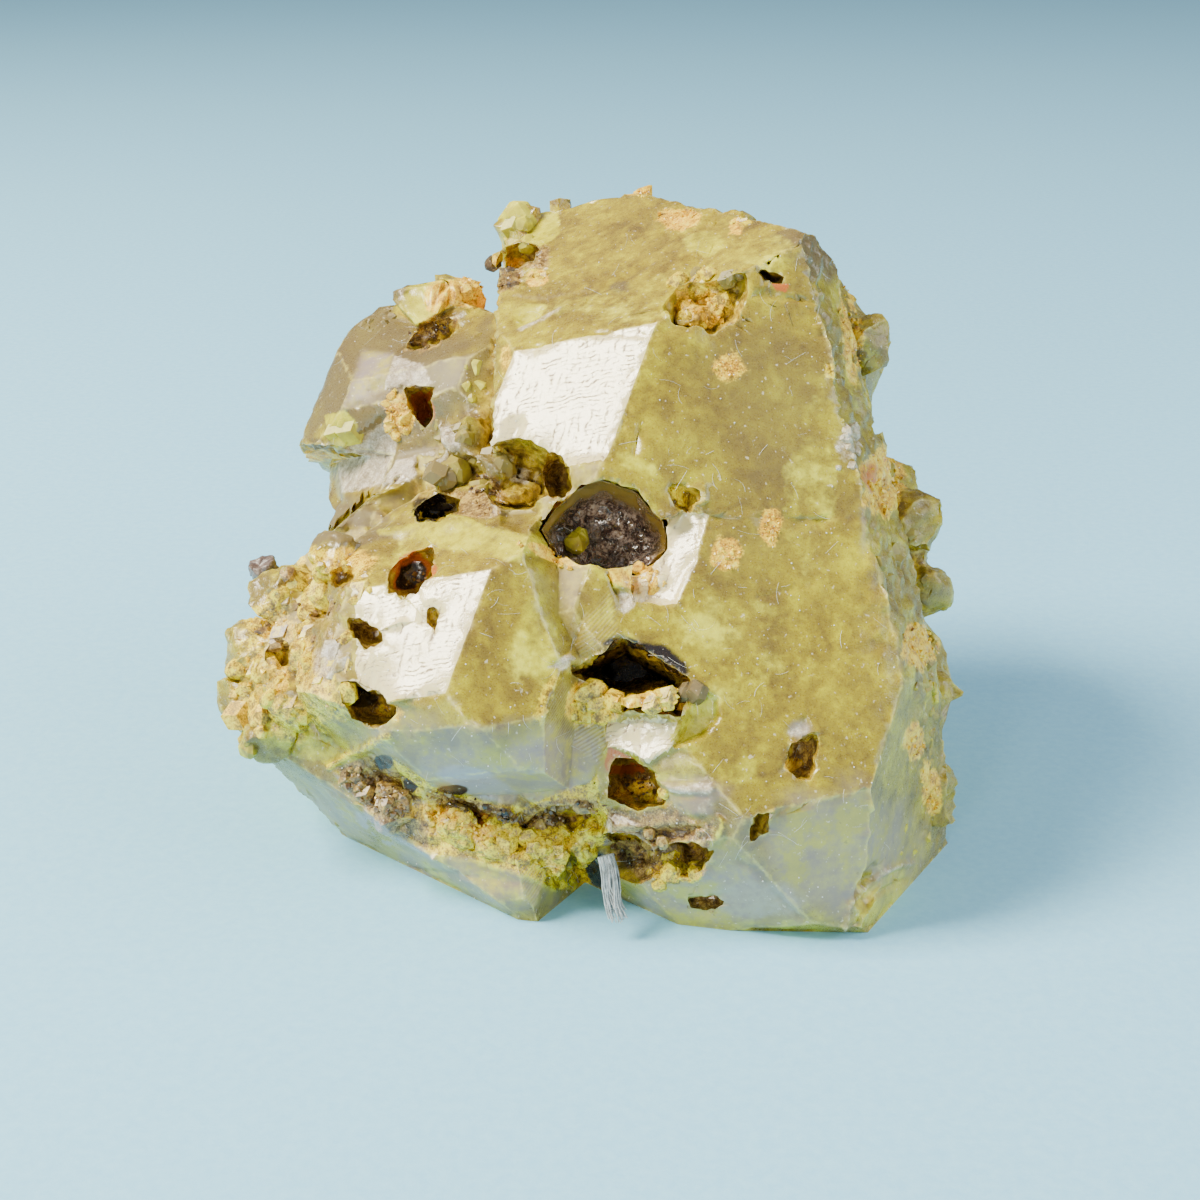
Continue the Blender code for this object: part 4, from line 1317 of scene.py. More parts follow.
    def classify(self, mesh: bmesh.types.BMesh) -> np.ndarray:
        """Tell crystal faces from breaks and hollows.

        Args:
            mesh: The fine mesh.

        Returns:
            The flatness of each point, from 0 to 1.
        """
        axes = lattice()
        aims = {index: (axes @ Vector(index)).normalized()
                for index in ((1, 1, 0), (1, 0, 1), (1, 1, 2), (0, 1, 1))}
        faces = [(axes @ Vector((h, k, l))).normalized()
                 for h in range(-2, 3) for k in range(-2, 3) for l in range(-2, 3)
                 if sorted((abs(h), abs(k), abs(l))) in ([0, 1, 1], [1, 1, 2])]
        flat_layer = mesh.faces.layers.float["flat"]
        flat = np.ones(len(mesh.verts))
        mesh.verts.index_update()
        self.bright = np.zeros(len(mesh.faces))
        for order, face in enumerate(mesh.faces):
            own = face[flat_layer]
            rows = [vert.index for vert in face.verts]
            flat[rows] = np.minimum(flat[rows], own)
            if own < 1.0:
                continue
            if face.normal.dot(aims[1, 1, 0]) > self.bright_limit:
                if self.shines(face.calc_center_median()):
                    self.bright[order] = 1.0
                else:
                    self.marks[Mark.DULL][rows] = 1.0
            if face.normal.dot(aims[1, 0, 1]) > self.bright_limit:
                self.marks[Mark.STRIATED][rows] = 1.0
            # lower faces: frosted, and a painted reflection of the floor
            for index, share in (((1, 1, 2), 0.3), ((0, 1, 1), 0.5)):
                if face.normal.dot(aims[index]) > self.bright_limit:
                    self.marks[Mark.FROST_AND_FLOOR_SHEEN][rows] = np.maximum(self.marks[Mark.FROST_AND_FLOOR_SHEEN][rows], share)
            if max(face.normal.dot(aim) for aim in faces) < self.bright_limit:
                self.marks[Mark.BROKEN][rows] = 1.0
        return flat

    @staticmethod
    def shines(middle: Vector) -> bool:
        """Return whether the face with this middle is one of the faces that shine, which get the painted
        highlight of the key light.
        """
        x, y, depth = DISPLAY.pictures(np.array([middle]))[0]
        return depth > -12.0 and any(abs(x - place[0]) < reach[0] and abs(y - place[1]) < reach[1]
                                     for place, reach in BRIGHT_ZONES)

    def relief(self, mesh: bmesh.types.BMesh, flat: np.ndarray, lift: np.ndarray) -> None:
        """Move the points: crumbly breaks, bumpy hollows and chipped edges.

        Args:
            mesh: The fine mesh.
            flat: The flatness of each point.
            lift: The fine forms' relief.
        """
        broken, grit, edge = (self.marks[mark] for mark in (Mark.BROKEN, Mark.GRIT, Mark.EDGE))
        floor = DISPLAY.matrix().inverted() @ Vector((0, 0, 0))
        up = (DISPLAY.matrix().inverted().to_3x3() @ Vector((0, 0, 1))).normalized()
        places = []
        for vert in mesh.verts:
            row, place = vert.index, vert.co
            wave = noise.noise(place * 0.23) * 0.07 + noise.noise(place * 0.9) * 0.02
            lump = noise.noise(place * 0.42) * 0.55 + noise.noise(place * 1.1 + Vector((7, 3, 1))) * 0.3
            crumb = 0.5 - noise.voronoi(place * 0.95)[0][0]
            small = 0.5 - noise.voronoi(place * 1.9)[0][0]
            rough = max(broken[row], 0.8 * (1.0 - flat[row]), grit[row]) * (1.0 - 0.8 * self.calm[row])
            move = wave * (1.0 - rough) + lift[row]
            move += rough * (lump * (0.4 + 0.4 * broken[row]) + crumb * 0.42 + small * 0.3)
            chip = edge[row] * max(0.0, noise.noise(place * 0.9 + Vector((2, 9, 4)))
                                   + 0.5 * noise.noise(place * 2.1) + 0.12)
            move -= chip * self.chip_depth + 0.05 * rough
            height = (place - floor).dot(up)
            if height < self.floor_gap:
                move = 0.0
            step = vert.normal * max(-self.most_move, min(self.most_move, move))
            sunk = (place + step - floor).dot(up)
            places.append(place + step + up * max(0.0, -sunk))
        for vert, place in zip(mesh.verts, places):
            vert.co = place

    def build(self, ground: Ground, material: bpy.types.Material) -> bpy.types.Object:
        """Build the cluster's visible body.

        Args:
            ground: The solids that small pieces are set on.
            material: The garnet's material.

        Returns:
            The piece that stands for the cluster.
        """
        mesh, ridge = self.shape()
        mesh.normal_update()
        points = np.array([vert.co for vert in mesh.verts])
        self.marks = {mark: np.zeros(len(points)) for mark in Mark}
        flat = self.classify(mesh)
        self.calm = np.zeros(len(points))
        near = self.touch(points)
        tree = KDTree(len(ridge))
        for row, place in enumerate(ridge):
            tree.insert(place, row)
        tree.balance()
        away = np.array([tree.find(vert.co)[2] for vert in mesh.verts])
        # edge mark: drives the chips in the relief and the painted edge highlight in the colour
        self.marks[Mark.EDGE] = 1.0 - smooth_step(away, 0.05, self.chip_reach)
        rays = half_ball(self.rays)
        # painted shade and iron stain: the share of blocked rays darkens recesses in the colour
        self.marks[Mark.RECESS_SHADE_AND_STAIN] = np.array([
            ground.cover(vert.co, vert.normal, rays, self.cover_reach) for vert in mesh.verts])
        self.weather(points, flat)
        mesh.verts.ensure_lookup_table()
        shape_rims(mesh, RIMS)
        lift = self.carve(mesh, DISPLAY.pictures(points), near)
        shining = self.marks[Mark.BRIGHT]
        for order, face in enumerate(mesh.faces):
            if shining[[vert.index for vert in face.verts]].mean() > 0.5:
                self.bright[order] = 1.0
        mesh.normal_update()
        self.relief(mesh, flat, lift)
        piece = grown("garnet_body", mesh, material, self.crease)
        for mark, values in self.marks.items():
            if mark is not Mark.BRIGHT:
                write_mark(piece, mark, values)
        write_mark(piece, Mark.BRIGHT, self.bright, "FACE")
        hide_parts("garnet_cluster")
        return piece

    def weather(self, points: np.ndarray, flat: np.ndarray) -> None:
        """Stain the breaks and rough parts that the eye doesn't see from the front.

        Args:
            points: The mesh's points.
            flat: The flatness of each point.
        """
        behind = smooth_step(-points[:, 2], 0.0, 9.0)
        stain = np.array([noise.noise(Vector(point) * 0.16 + Vector((5, 1, 8))) for point in points])
        rough = np.maximum(self.marks[Mark.BROKEN], 1.0 - flat)
        ochre = smooth_step(stain, 0.02, 0.3) * behind * rough * 0.8
        self.marks[Mark.OCHRE] = np.maximum(self.marks[Mark.OCHRE], ochre)
        brown = smooth_step(-stain, 0.12, 0.4) * behind * rough * 0.6
        self.marks[Mark.BROWN] = np.maximum(self.marks[Mark.BROWN], brown)


@dataclass
class GreatHollowCrust:
    """The dark shiny crust of the great hollow, bumpy like small grapes."""
    edge: float = 0.2
    bump: float = 0.95
    fine_bump: float = 0.45
    depth: float = 1.5

    def build(self, material: bpy.types.Material) -> bpy.types.Object:
        """Build the crust.

        Args:
            material: Its material.

        Returns:
            The piece that stands for the crust.
        """
        mesh = node_mesh("great_hollow_crust")
        refine(mesh, lambda places: np.full(len(places), self.edge))
        mesh.normal_update()
        places = DISPLAY.pictures(np.array([vert.co for vert in mesh.verts]))
        druse = smooth_step(inside_distance(places[:, :2], DRUSE), -4.0, 6.0)
        for vert, share in zip(mesh.verts, druse):
            bend = Vector((noise.noise(vert.co * 0.5), noise.noise(vert.co * 0.5 + Vector((4, 4, 4))), 0.0))
            grape = 0.5 - noise.voronoi((vert.co + bend) * 0.62)[0][0]
            small = 0.5 - noise.voronoi(vert.co * 1.35)[0][0]
            inside = 1.0 if vert.normal.z > -0.2 else 0.2
            move = (grape * self.bump + small * self.fine_bump) * inside * (0.12 + 0.88 * share)
            sunk = share * self.depth if vert.normal.z > 0.0 else 0.0
            vert.co += vert.normal * move - Vector((0, 0, sunk))
        shape_rims(mesh, RIMS[:1])
        piece = grown("great_hollow_druse", mesh, material, 60.0)
        write_mark(piece, Mark.BROWN, 1.0 - druse)
        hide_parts("great_hollow_crust")
        return piece


@dataclass
class BlackHoleCrust:
    """The ochre crust on the floor of the black hole."""
    edge: float = 0.3

    def build(self, material: bpy.types.Material) -> bpy.types.Object:
        """Return the crust."""
        mesh = node_mesh("black_hole_crust")
        refine(mesh, lambda places: np.full(len(places), self.edge))
        mesh.normal_update()
        for vert in mesh.verts:
            crumb = 0.42 - noise.voronoi(vert.co * 0.9)[0][0]
            small = 0.42 - noise.voronoi(vert.co * 2.0)[0][0]
            vert.co += vert.normal * (crumb * 0.5 + small * 0.25 - 0.1)
        piece = grown("black_hole_druse", mesh, material, 28.0)
        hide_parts("black_hole_crust")
        return piece


@dataclass
class EdgeGrain:
    """The loose dark grain on the left edge."""
    edge: float = 0.2

    def build(self, material: bpy.types.Material) -> bpy.types.Object:
        """Return the grain."""
        mesh = node_mesh("edge_grain")
        refine(mesh, lambda places: np.full(len(places), self.edge))
        mesh.normal_update()
        for vert in mesh.verts:
            vert.co += vert.normal * (noise.noise(vert.co * 1.1) * 0.3
                                      + (0.4 - noise.voronoi(vert.co * 1.6)[0][0]) * 0.25)
        piece = grown("dark_edge_grain", mesh, material, 28.0)
        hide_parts("edge_grain")
        return piece


@dataclass
class FibreTuft:
    """The grey fibre tuft: many fine curved fibres from a root in the lower seam."""
    root: Pair = (603, 856)
    tip: Pair = (619, 921)
    depth: float = 12.6
    count: int = 130
    steps: int = 9
    radius: float = 0.045
    spread: Pair = (0.95, 0.55)

    def build(self, material: bpy.types.Material) -> bpy.types.Object:
        """Return the tuft."""
        chance = random.Random("fibre tuft")
        mesh = bmesh.new()
        root, tip = DISPLAY.sight(self.root, self.depth), DISPLAY.sight(self.tip, self.depth + 0.6)
        run = tip - root
        side, front = Vector((1, 0.25, 0)).normalized(), Vector((0, 0, 1))
        for _ in range(self.count):
            angle, share = chance.uniform(0, math.tau), math.sqrt(chance.random())
            start = side * (math.cos(angle) * share) + front * (math.sin(angle) * share * 0.8)
            sway = Vector((chance.uniform(-1, 1), chance.uniform(-1, 1), chance.uniform(-1, 1)))
            reach = chance.uniform(0.55, 1.04)
            curl = chance.uniform(0.0, 0.7)
            path = []
            for step in range(self.steps + 1):
                along = step / self.steps
                width = self.spread[0] + (self.spread[1] - self.spread[0]) * along
                swing = math.sin(along * 3.4 + share) * 0.22
                hook = max(0.0, along - 0.75) * curl * 2.2
                path.append(root + run * (along * reach) + start * width * (0.6 + 0.4 * along)
                            + sway * (0.22 * math.sin(along * math.pi)) + side * (swing + hook))
            add_fibre(mesh, path, self.radius * chance.uniform(0.6, 1.3))
        piece = grown("fibre_bundle", mesh, material, 60.0)
        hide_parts("fibre_tuft")
        return piece


def add_fibre(mesh: bmesh.types.BMesh, path: Sequence[Vector], radius: float, sides: int = 4) -> None:
    """Add a thin closed tube.

    Args:
        mesh: The mesh to add to.
        path: The points that it follows.
        radius: Its radius.
        sides: Its sides.
    """
    way = (path[1] - path[0]).normalized()
    place = Matrix.Translation(path[0]) @ way.to_track_quat("Z", "Y").to_matrix().to_4x4()
    ring = bmesh.ops.create_circle(mesh, cap_ends=True, segments=sides, radius=radius,
                                   matrix=place)["verts"]
    face = next(face for face in ring[0].link_faces)
    face.normal_flip()
    for before, after in zip(path, path[1:]):
        made = bmesh.ops.extrude_face_region(mesh, geom=[face], use_keep_orig=before is path[0])["geom"]
        verts = [item for item in made if isinstance(item, bmesh.types.BMVert)]
        face = next(item for item in made if isinstance(item, bmesh.types.BMFace))
        bmesh.ops.translate(mesh, vec=after - before, verts=verts)


@dataclass
class Crystallites:
    """Small garnets that grow out of the rough places, with faces as the big crystals have."""
    growths: Sequence[Growth]
    name: str = "small_garnets"
    variants: int = 12
    plain_share: int = 3
    behind: int = 120
    behind_sizes: Pair = (0.5, 2.1)

    def shape(self, variant: int, chance: random.Random) -> Template:
        """Make a garnet of radius 1 by cutting a cube along its faces.

        Args:
            variant: Its number.
            chance: The source of its uneven faces.

        Returns:
            The garnet's shape.
        """
        stone = bmesh.new()
        bmesh.ops.create_cube(stone, size=2.6)
        kind = [0, 1, 1] if variant % self.plain_share == 0 else [1, 1, 2]
        for h in range(-2, 3):
            for k in range(-2, 3):
                for l in range(-2, 3):
                    if sorted((abs(h), abs(k), abs(l))) != kind:
                        continue
                    aim = Vector((h, k, l)).normalized()
                    cut = bmesh.ops.bisect_plane(stone, geom=stone.verts[:] + stone.edges[:] + stone.faces[:],
                                                 plane_co=aim * chance.uniform(0.76, 1.0), plane_no=aim,
                                                 clear_outer=True)
                    rim = [item for item in cut["geom_cut"] if isinstance(item, bmesh.types.BMEdge)]
                    if rim:
                        bmesh.ops.edgenet_fill(stone, edges=rim)
        bmesh.ops.remove_doubles(stone, verts=stone.verts[:], dist=0.06)
        bmesh.ops.recalc_face_normals(stone, faces=stone.faces[:])
        bmesh.ops.triangulate(stone, faces=stone.faces[:])
        return Template.keep(f"{self.name}_shape_{variant}", stone)

    def build(self, ground: Ground, material: bpy.types.Material) -> bpy.types.Object:
        """Build the small garnets.

        Args:
            ground: The solids that they grow on.
            material: The garnet's material.

        Returns:
            The garnets as one piece.
        """
        chance = random.Random("small garnets")
        shapes = [self.shape(variant, chance) for variant in range(self.variants)]
        mesh = bmesh.new()
        stains: list[tuple[int, Sequence[tuple[Mark, float]]]] = []
        for growth in self.growths:
            turn = math.radians(growth.turn)
            for _ in range(growth.count):
                angle, share = chance.uniform(0, math.tau), math.sqrt(chance.random())
                across = math.cos(angle) * share * growth.radii[0]
                down = math.sin(angle) * share * growth.radii[1]
                seen = ground.seen((growth.picture[0] + across * math.cos(turn) + down * math.sin(turn),
                                    growth.picture[1] - across * math.sin(turn) + down * math.cos(turn)))
                size = growth.sizes[0] + (growth.sizes[1] - growth.sizes[0]) * chance.random() ** 1.8
                loose = 0.0 if chance.random() < growth.aligned else 1.0
                matrix = None if seen is None else self.place(seen, size, growth, loose, chance)
                if matrix is not None:
                    stains.append((chance.choice(shapes).add(mesh, matrix), growth.marks))
        stains += self.grow_behind(mesh, shapes, ground, chance)
        for shape in shapes:
            shape.drop()
        piece = grown(self.name, mesh, material, None)
        for mark in Mark:
            plain = 0.7 if mark is Mark.DULL else 0.0
            write_mark(piece, mark, np.concatenate([
                np.full(count, dict(marks).get(mark, plain)) for count, marks in stains]))
        return piece

    def grow_behind(self, mesh: bmesh.types.BMesh, shapes: Sequence[Template], ground: Ground,
                    chance: random.Random) -> list[tuple[int, Sequence[tuple[Mark, float]]]]:
        """Grow garnets on the sides and the back, which the eye doesn't see.

        Args:
            mesh: The mesh to add to.
            shapes: The garnets' shapes.
            ground: The solids that they grow on.
            chance: The source of their places.

        Returns:
            How many points each has, and its marks.
        """
        middle = Vector((0.0, 0.0, -5.0))
        kinds = ((), ((Mark.OCHRE, 0.8),), ((Mark.GOLD, 0.8),), ((Mark.BROWN, 0.8),), ((Mark.GREEN, 0.6),))
        stains = []
        for _ in range(self.behind):
            way = Vector([chance.gauss(0, 1) for _ in range(3)]).normalized()
            size = self.behind_sizes[0] + (self.behind_sizes[1] - self.behind_sizes[0]) * chance.random() ** 2
            growth = Growth((0, 0), (0, 0), 1, (size, size), chance.choice(kinds), sink=0.75)
            loose = chance.choice((0.0, 0.0, 1.0))
            if way.z > -0.3:
                continue
            place, normal, _, _ = ground.tree.ray_cast(middle + way * 60.0, -way)
            matrix = None if place is None else self.place((place, normal), size, growth, loose, chance)
            if matrix is not None:
                stains.append((chance.choice(shapes).add(mesh, matrix), growth.marks))
        return stains

    @staticmethod
    def place(seen: tuple[Vector, Vector], size: float, growth: Growth, loose: float,
              chance: random.Random) -> Matrix | None:
        """Find how a garnet lies.

        Args:
            seen: The surface's place and normal.
            size: The garnet's radius.
            growth: The place that it belongs to.
            loose: 0 where it lies parallel to the big crystals, 1 where it lies anyhow.
            chance: The source of its turn and stretch.

        Returns:
            Its place, turn and size, or None where it would reach under the specimen.
        """
        middle = seen[0] - seen[1] * size * growth.sink
        if (DISPLAY.matrix() @ middle).z < size * MM * 1.1:
            return None
        axis = Vector([chance.gauss(0, 1) for _ in range(3)]).normalized()
        spin = Matrix.Rotation(loose * chance.uniform(0.3, math.pi), 4, axis)
        stretch = Matrix.Diagonal((size, size * chance.uniform(0.75, 1.1),
                                   size * chance.uniform(0.75, 1.1), 1))
        return Matrix.Translation(middle) @ spin @ lattice().to_4x4() @ stretch


GROWTHS = (
    # the left intergrowth
    Growth((290, 655), (60, 80), 37, (0.5, 1.6), ((Mark.GOLD, 0.85),)),
    Growth((262, 690), (34, 44), 15, (0.5, 1.3), ((Mark.GOLD, 0.5), (Mark.OCHRE, 0.45))),
    Growth((330, 585), (42, 26), 15, (0.4, 1.2), ((Mark.GOLD, 0.8),)),
    Growth((300, 610), (46, 50), 12, (0.4, 1.1), ((Mark.BROWN, 0.8),)),
    Growth((327, 660), (14, 14), 3, (1.1, 1.7), ((Mark.PALE, 0.55),)),
    Growth((250, 738), (26, 12), 7, (0.5, 1.2), ((Mark.GREEN, 0.5),), -20.0),
    # between the upper left crystal and the main one
    Growth((450, 440), (17, 26), 9, (0.5, 1.2), ((Mark.GREY, 0.5),)),
    Growth((484, 468), (26, 22), 10, (0.5, 1.3), ((Mark.GREY, 0.4),)),
    Growth((450, 473), (14, 12), 6, (0.5, 1.0), ((Mark.GREY, 0.8),)),
    Growth((470, 360), (14, 40), 7, (0.5, 1.2), ((Mark.GREEN, 0.4),)),
    Growth((365, 322), (32, 12), 14, (0.3, 0.8), ((Mark.GREY, 0.8),), 20.0),
    Growth((338, 434), (16, 12), 3, (0.8, 1.4), ((Mark.GREEN, 0.8),)),
    Growth((472, 286), (16, 13), 13, (0.3, 0.8), ((Mark.OCHRE, 0.9),)),
    Growth((395, 415), (14, 26), 10, (0.4, 0.9), ((Mark.OCHRE, 0.8),)),
    # the top left shell and its hollow
    Growth((528, 224), (24, 14), 4, (0.9, 1.7), ((Mark.GREEN, 0.8),)),
    Growth((536, 277), (11, 8), 5, (0.5, 0.95), ((Mark.GOLD, 1.0),)),
    Growth((534, 256), (13, 9), 4, (0.5, 1.0), ((Mark.BROWN, 0.8),)),
    # painted shade on the crystals in the hollow under the shell
    Growth((505, 276), (11, 14), 6, (0.6, 1.3), ((Mark.BROWN, 0.9), (Mark.DARK, 0.5))),
    Growth((738, 224), (8, 7), 4, (0.4, 0.8), ((Mark.GOLD, 0.9),)),
    # the hollow in the top right block
    Growth((705, 302), (32, 28), 18, (0.4, 1.1), ((Mark.GOLD, 0.6),)),
    Growth((712, 275), (34, 10), 7, (0.4, 0.9), ((Mark.GREY, 0.7),)),
    # the right flank
    Growth((852, 320), (18, 66), 13, (0.6, 1.3), (), 8.0, sink=0.85),
    Growth((850, 445), (14, 26), 14, (0.3, 0.8), ((Mark.PALE, 0.8),), -20.0),
    Growth((884, 482), (20, 34), 20, (0.3, 0.9), ((Mark.OCHRE, 0.9),), sink=0.85),
    Growth((905, 562), (24, 36), 10, (0.6, 1.3), ((Mark.GREY, 0.35),), sink=0.85),
    Growth((918, 646), (15, 24), 13, (0.3, 0.8), ((Mark.OCHRE, 0.8), (Mark.PALE, 0.3)), sink=0.85),
    Growth((930, 720), (14, 70), 18, (0.4, 1.1), ((Mark.GOLD, 0.35),), sink=0.85),
    Growth((915, 850), (16, 46), 9, (0.4, 1.0), ((Mark.GREEN, 0.5),), sink=0.85),
    # the seam and what is under the ledge
    Growth((490, 838), (58, 18), 33, (0.3, 0.95), ((Mark.GOLD, 0.9),), -14.0),
    Growth((468, 822), (40, 10), 18, (0.3, 0.7), ((Mark.OCHRE, 0.9),), -14.0),
    Growth((378, 797), (46, 15), 26, (0.3, 0.85), ((Mark.BROWN, 0.8),), -35.0),
    Growth((562, 850), (36, 26), 21, (0.3, 0.9), ((Mark.GOLD, 0.6),)),
    Growth((560, 814), (46, 9), 14, (0.3, 0.8), ((Mark.BROWN, 0.9),), 12.0),
    Growth((675, 868), (28, 14), 20, (0.3, 0.8), ((Mark.GOLD, 0.9),)),
    Growth((660, 845), (34, 12), 9, (0.4, 0.9), ((Mark.BROWN, 0.8),)),
    Growth((648, 797), (18, 9), 8, (0.3, 0.7), ((Mark.GOLD, 0.9),)),
    Growth((694, 802), (20, 10), 8, (0.3, 0.7), ((Mark.PALE, 0.5),)),
    Growth((345, 836), (30, 8), 8, (0.4, 0.9), ((Mark.GREY, 0.5),), -35.0),
    # crystals in the hollows
    Growth((592, 706), (24, 15), 14, (0.5, 1.15), ((Mark.OCHRE, 0.4), (Mark.GOLD, 0.9)), sink=0.4),
    Growth((667, 701), (18, 8), 9, (0.4, 0.9), ((Mark.OCHRE, 0.4), (Mark.GOLD, 0.8)), sink=0.4),
    Growth((650, 580), (14, 11), 9, (0.3, 0.75), ((Mark.OCHRE, 0.8),)),
    Growth((585, 537), (7, 7), 3, (0.6, 0.9), ((Mark.GREEN, 0.5),)),
    Growth((385, 714), (16, 9), 8, (0.3, 0.8), ((Mark.GOLD, 0.9),)),
    Growth((793, 763), (5, 4), 3, (0.6, 0.8), ((Mark.OCHRE, 1.0),)),
    # painted shade on the crystals at the black hole
    Growth((687, 690), (2, 2), 3, (0.8, 0.8), ((Mark.DARK, 0.4), (Mark.GREY, 1.0))),
)


@dataclass
class Crumbs:
    """Small crumbs strewn over picture places, each set on what the eye sees there."""
    name: str
    slot: str
    zones: Sequence[Zone]
    corners: int = 13
    variants: int = 9

    def shapes(self, chance: random.Random) -> list[Template]:
        """Make angular grains, each a hull around a few points near a ball.

        Args:
            chance: The source of their unevenness.

        Returns:
            The grains' shapes, of radius 1.
        """
        made = []
        for variant in range(self.variants):
            grain = bmesh.new()
            for _ in range(self.corners):
                way = Vector([chance.gauss(0, 1) for _ in range(3)]).normalized()
                grain.verts.new(way * chance.uniform(0.75, 1.1))
            bmesh.ops.convex_hull(grain, input=grain.verts[:])
            bmesh.ops.dissolve_limit(grain, angle_limit=math.radians(16), verts=grain.verts[:],
                                     edges=grain.edges[:])
            bmesh.ops.triangulate(grain, faces=grain.faces[:])
            made.append(Template.keep(f"{self.name}_shape_{variant}", grain))
        return made

    def build(self, ground: Ground, material: bpy.types.Material) -> bpy.types.Object:
        """Build the crumbs.

        Args:
            ground: The solids that they are set on.
            material: Their material.

        Returns:
            The crumbs as one piece.
        """
        chance = random.Random(self.name)
        mesh = bmesh.new()
        shapes = self.shapes(chance)
        for zone in self.zones:
            turn = math.radians(zone.turn)
            for _ in range(zone.count):
                angle, share = chance.uniform(0, math.tau), math.sqrt(chance.random())
                across = math.cos(angle) * share * zone.radii[0]
                down = math.sin(angle) * share * zone.radii[1]
                picture = (zone.picture[0] + across * math.cos(turn) + down * math.sin(turn),
                           zone.picture[1] - across * math.sin(turn) + down * math.cos(turn))
                size = zone.sizes[0] + (zone.sizes[1] - zone.sizes[0]) * chance.random() ** 2.2
                seen = ground.seen(picture)
                if seen is None:
                    continue
                chance.choice(shapes).add(mesh, self.place(seen, size, zone, chance))
        for shape in shapes:
            shape.drop()
        return grown(self.name, mesh, material, None)

    @staticmethod
    def place(seen: tuple[Vector, Vector], size: float, zone: Zone, chance: random.Random) -> Matrix:
        """Find how a crumb lies.

        Args:
            seen: The surface's place and normal.
            size: The crumb's radius.
            zone: The crumb's zone.
            chance: The source of its turn and stretch.

        Returns:
            Its place, turn and size.
        """
        middle = seen[0] + seen[1] * size * (0.35 - zone.sink)
        axis = Vector([chance.gauss(0, 1) for _ in range(3)]).normalized()
        spin = Matrix.Rotation(chance.uniform(0, math.tau), 4, axis)
        scale = Matrix.Diagonal((size, size * chance.uniform(0.6, 1.0), size * chance.uniform(0.6, 1.2), 1.0))
        return Matrix.Translation(middle) @ spin @ scale


OCHRE_ZONES = (
    Zone((771, 527), (8, 14), 34, (0.08, 0.26)), Zone((726, 555), (14, 13), 40, (0.08, 0.3)),
    Zone((728, 368), (13, 9), 26, (0.07, 0.22)), Zone((648, 578), (14, 11), 30, (0.1, 0.32)),
    Zone((548, 556), (34, 5), 60, (0.1, 0.26), -25), Zone((592, 706), (24, 14), 30, (0.12, 0.4)),
    Zone((668, 703), (18, 8), 24, (0.12, 0.36)), Zone((466, 822), (44, 12), 70, (0.1, 0.34), -14),
    Zone((884, 482), (18, 32), 70, (0.1, 0.36)), Zone((851, 330), (9, 44), 40, (0.1, 0.3), 8),
    Zone((918, 646), (15, 24), 44, (0.1, 0.34)), Zone((915, 741), (8, 16), 22, (0.1, 0.3)),
    Zone((930, 790), (8, 24), 26, (0.1, 0.3), 10), Zone((470, 288), (16, 12), 40, (0.1, 0.3)),
    Zone((398, 412), (11, 24), 34, (0.1, 0.3)), Zone((270, 650), (34, 44), 50, (0.1, 0.34)),
    Zone((678, 216), (24, 9), 34, (0.08, 0.28)), Zone((702, 306), (28, 24), 40, (0.1, 0.32)),
    Zone((642, 193), (9, 4), 8, (0.12, 0.3)), Zone((676, 872), (26, 10), 30, (0.1, 0.3)),
)
BROWN_ZONES = (
    Zone((376, 795), (42, 13), 60, (0.1, 0.34), -35), Zone((470, 806), (56, 8), 50, (0.1, 0.34), -16),
    Zone((560, 814), (46, 9), 50, (0.1, 0.34), 12), Zone((487, 494), (18, 22), 24, (0.12, 0.36)),
    Zone((506, 277), (12, 12), 14, (0.14, 0.4)), Zone((315, 607), (24, 9), 24, (0.1, 0.3)),
    Zone((640, 780), (20, 18), 24, (0.1, 0.3)), Zone((430, 334), (22, 14), 34, (0.12, 0.4)),
    Zone((412, 576), (14, 15), 16, (0.1, 0.34)), Zone((640, 852), (28, 16), 40, (0.1, 0.34)),
)


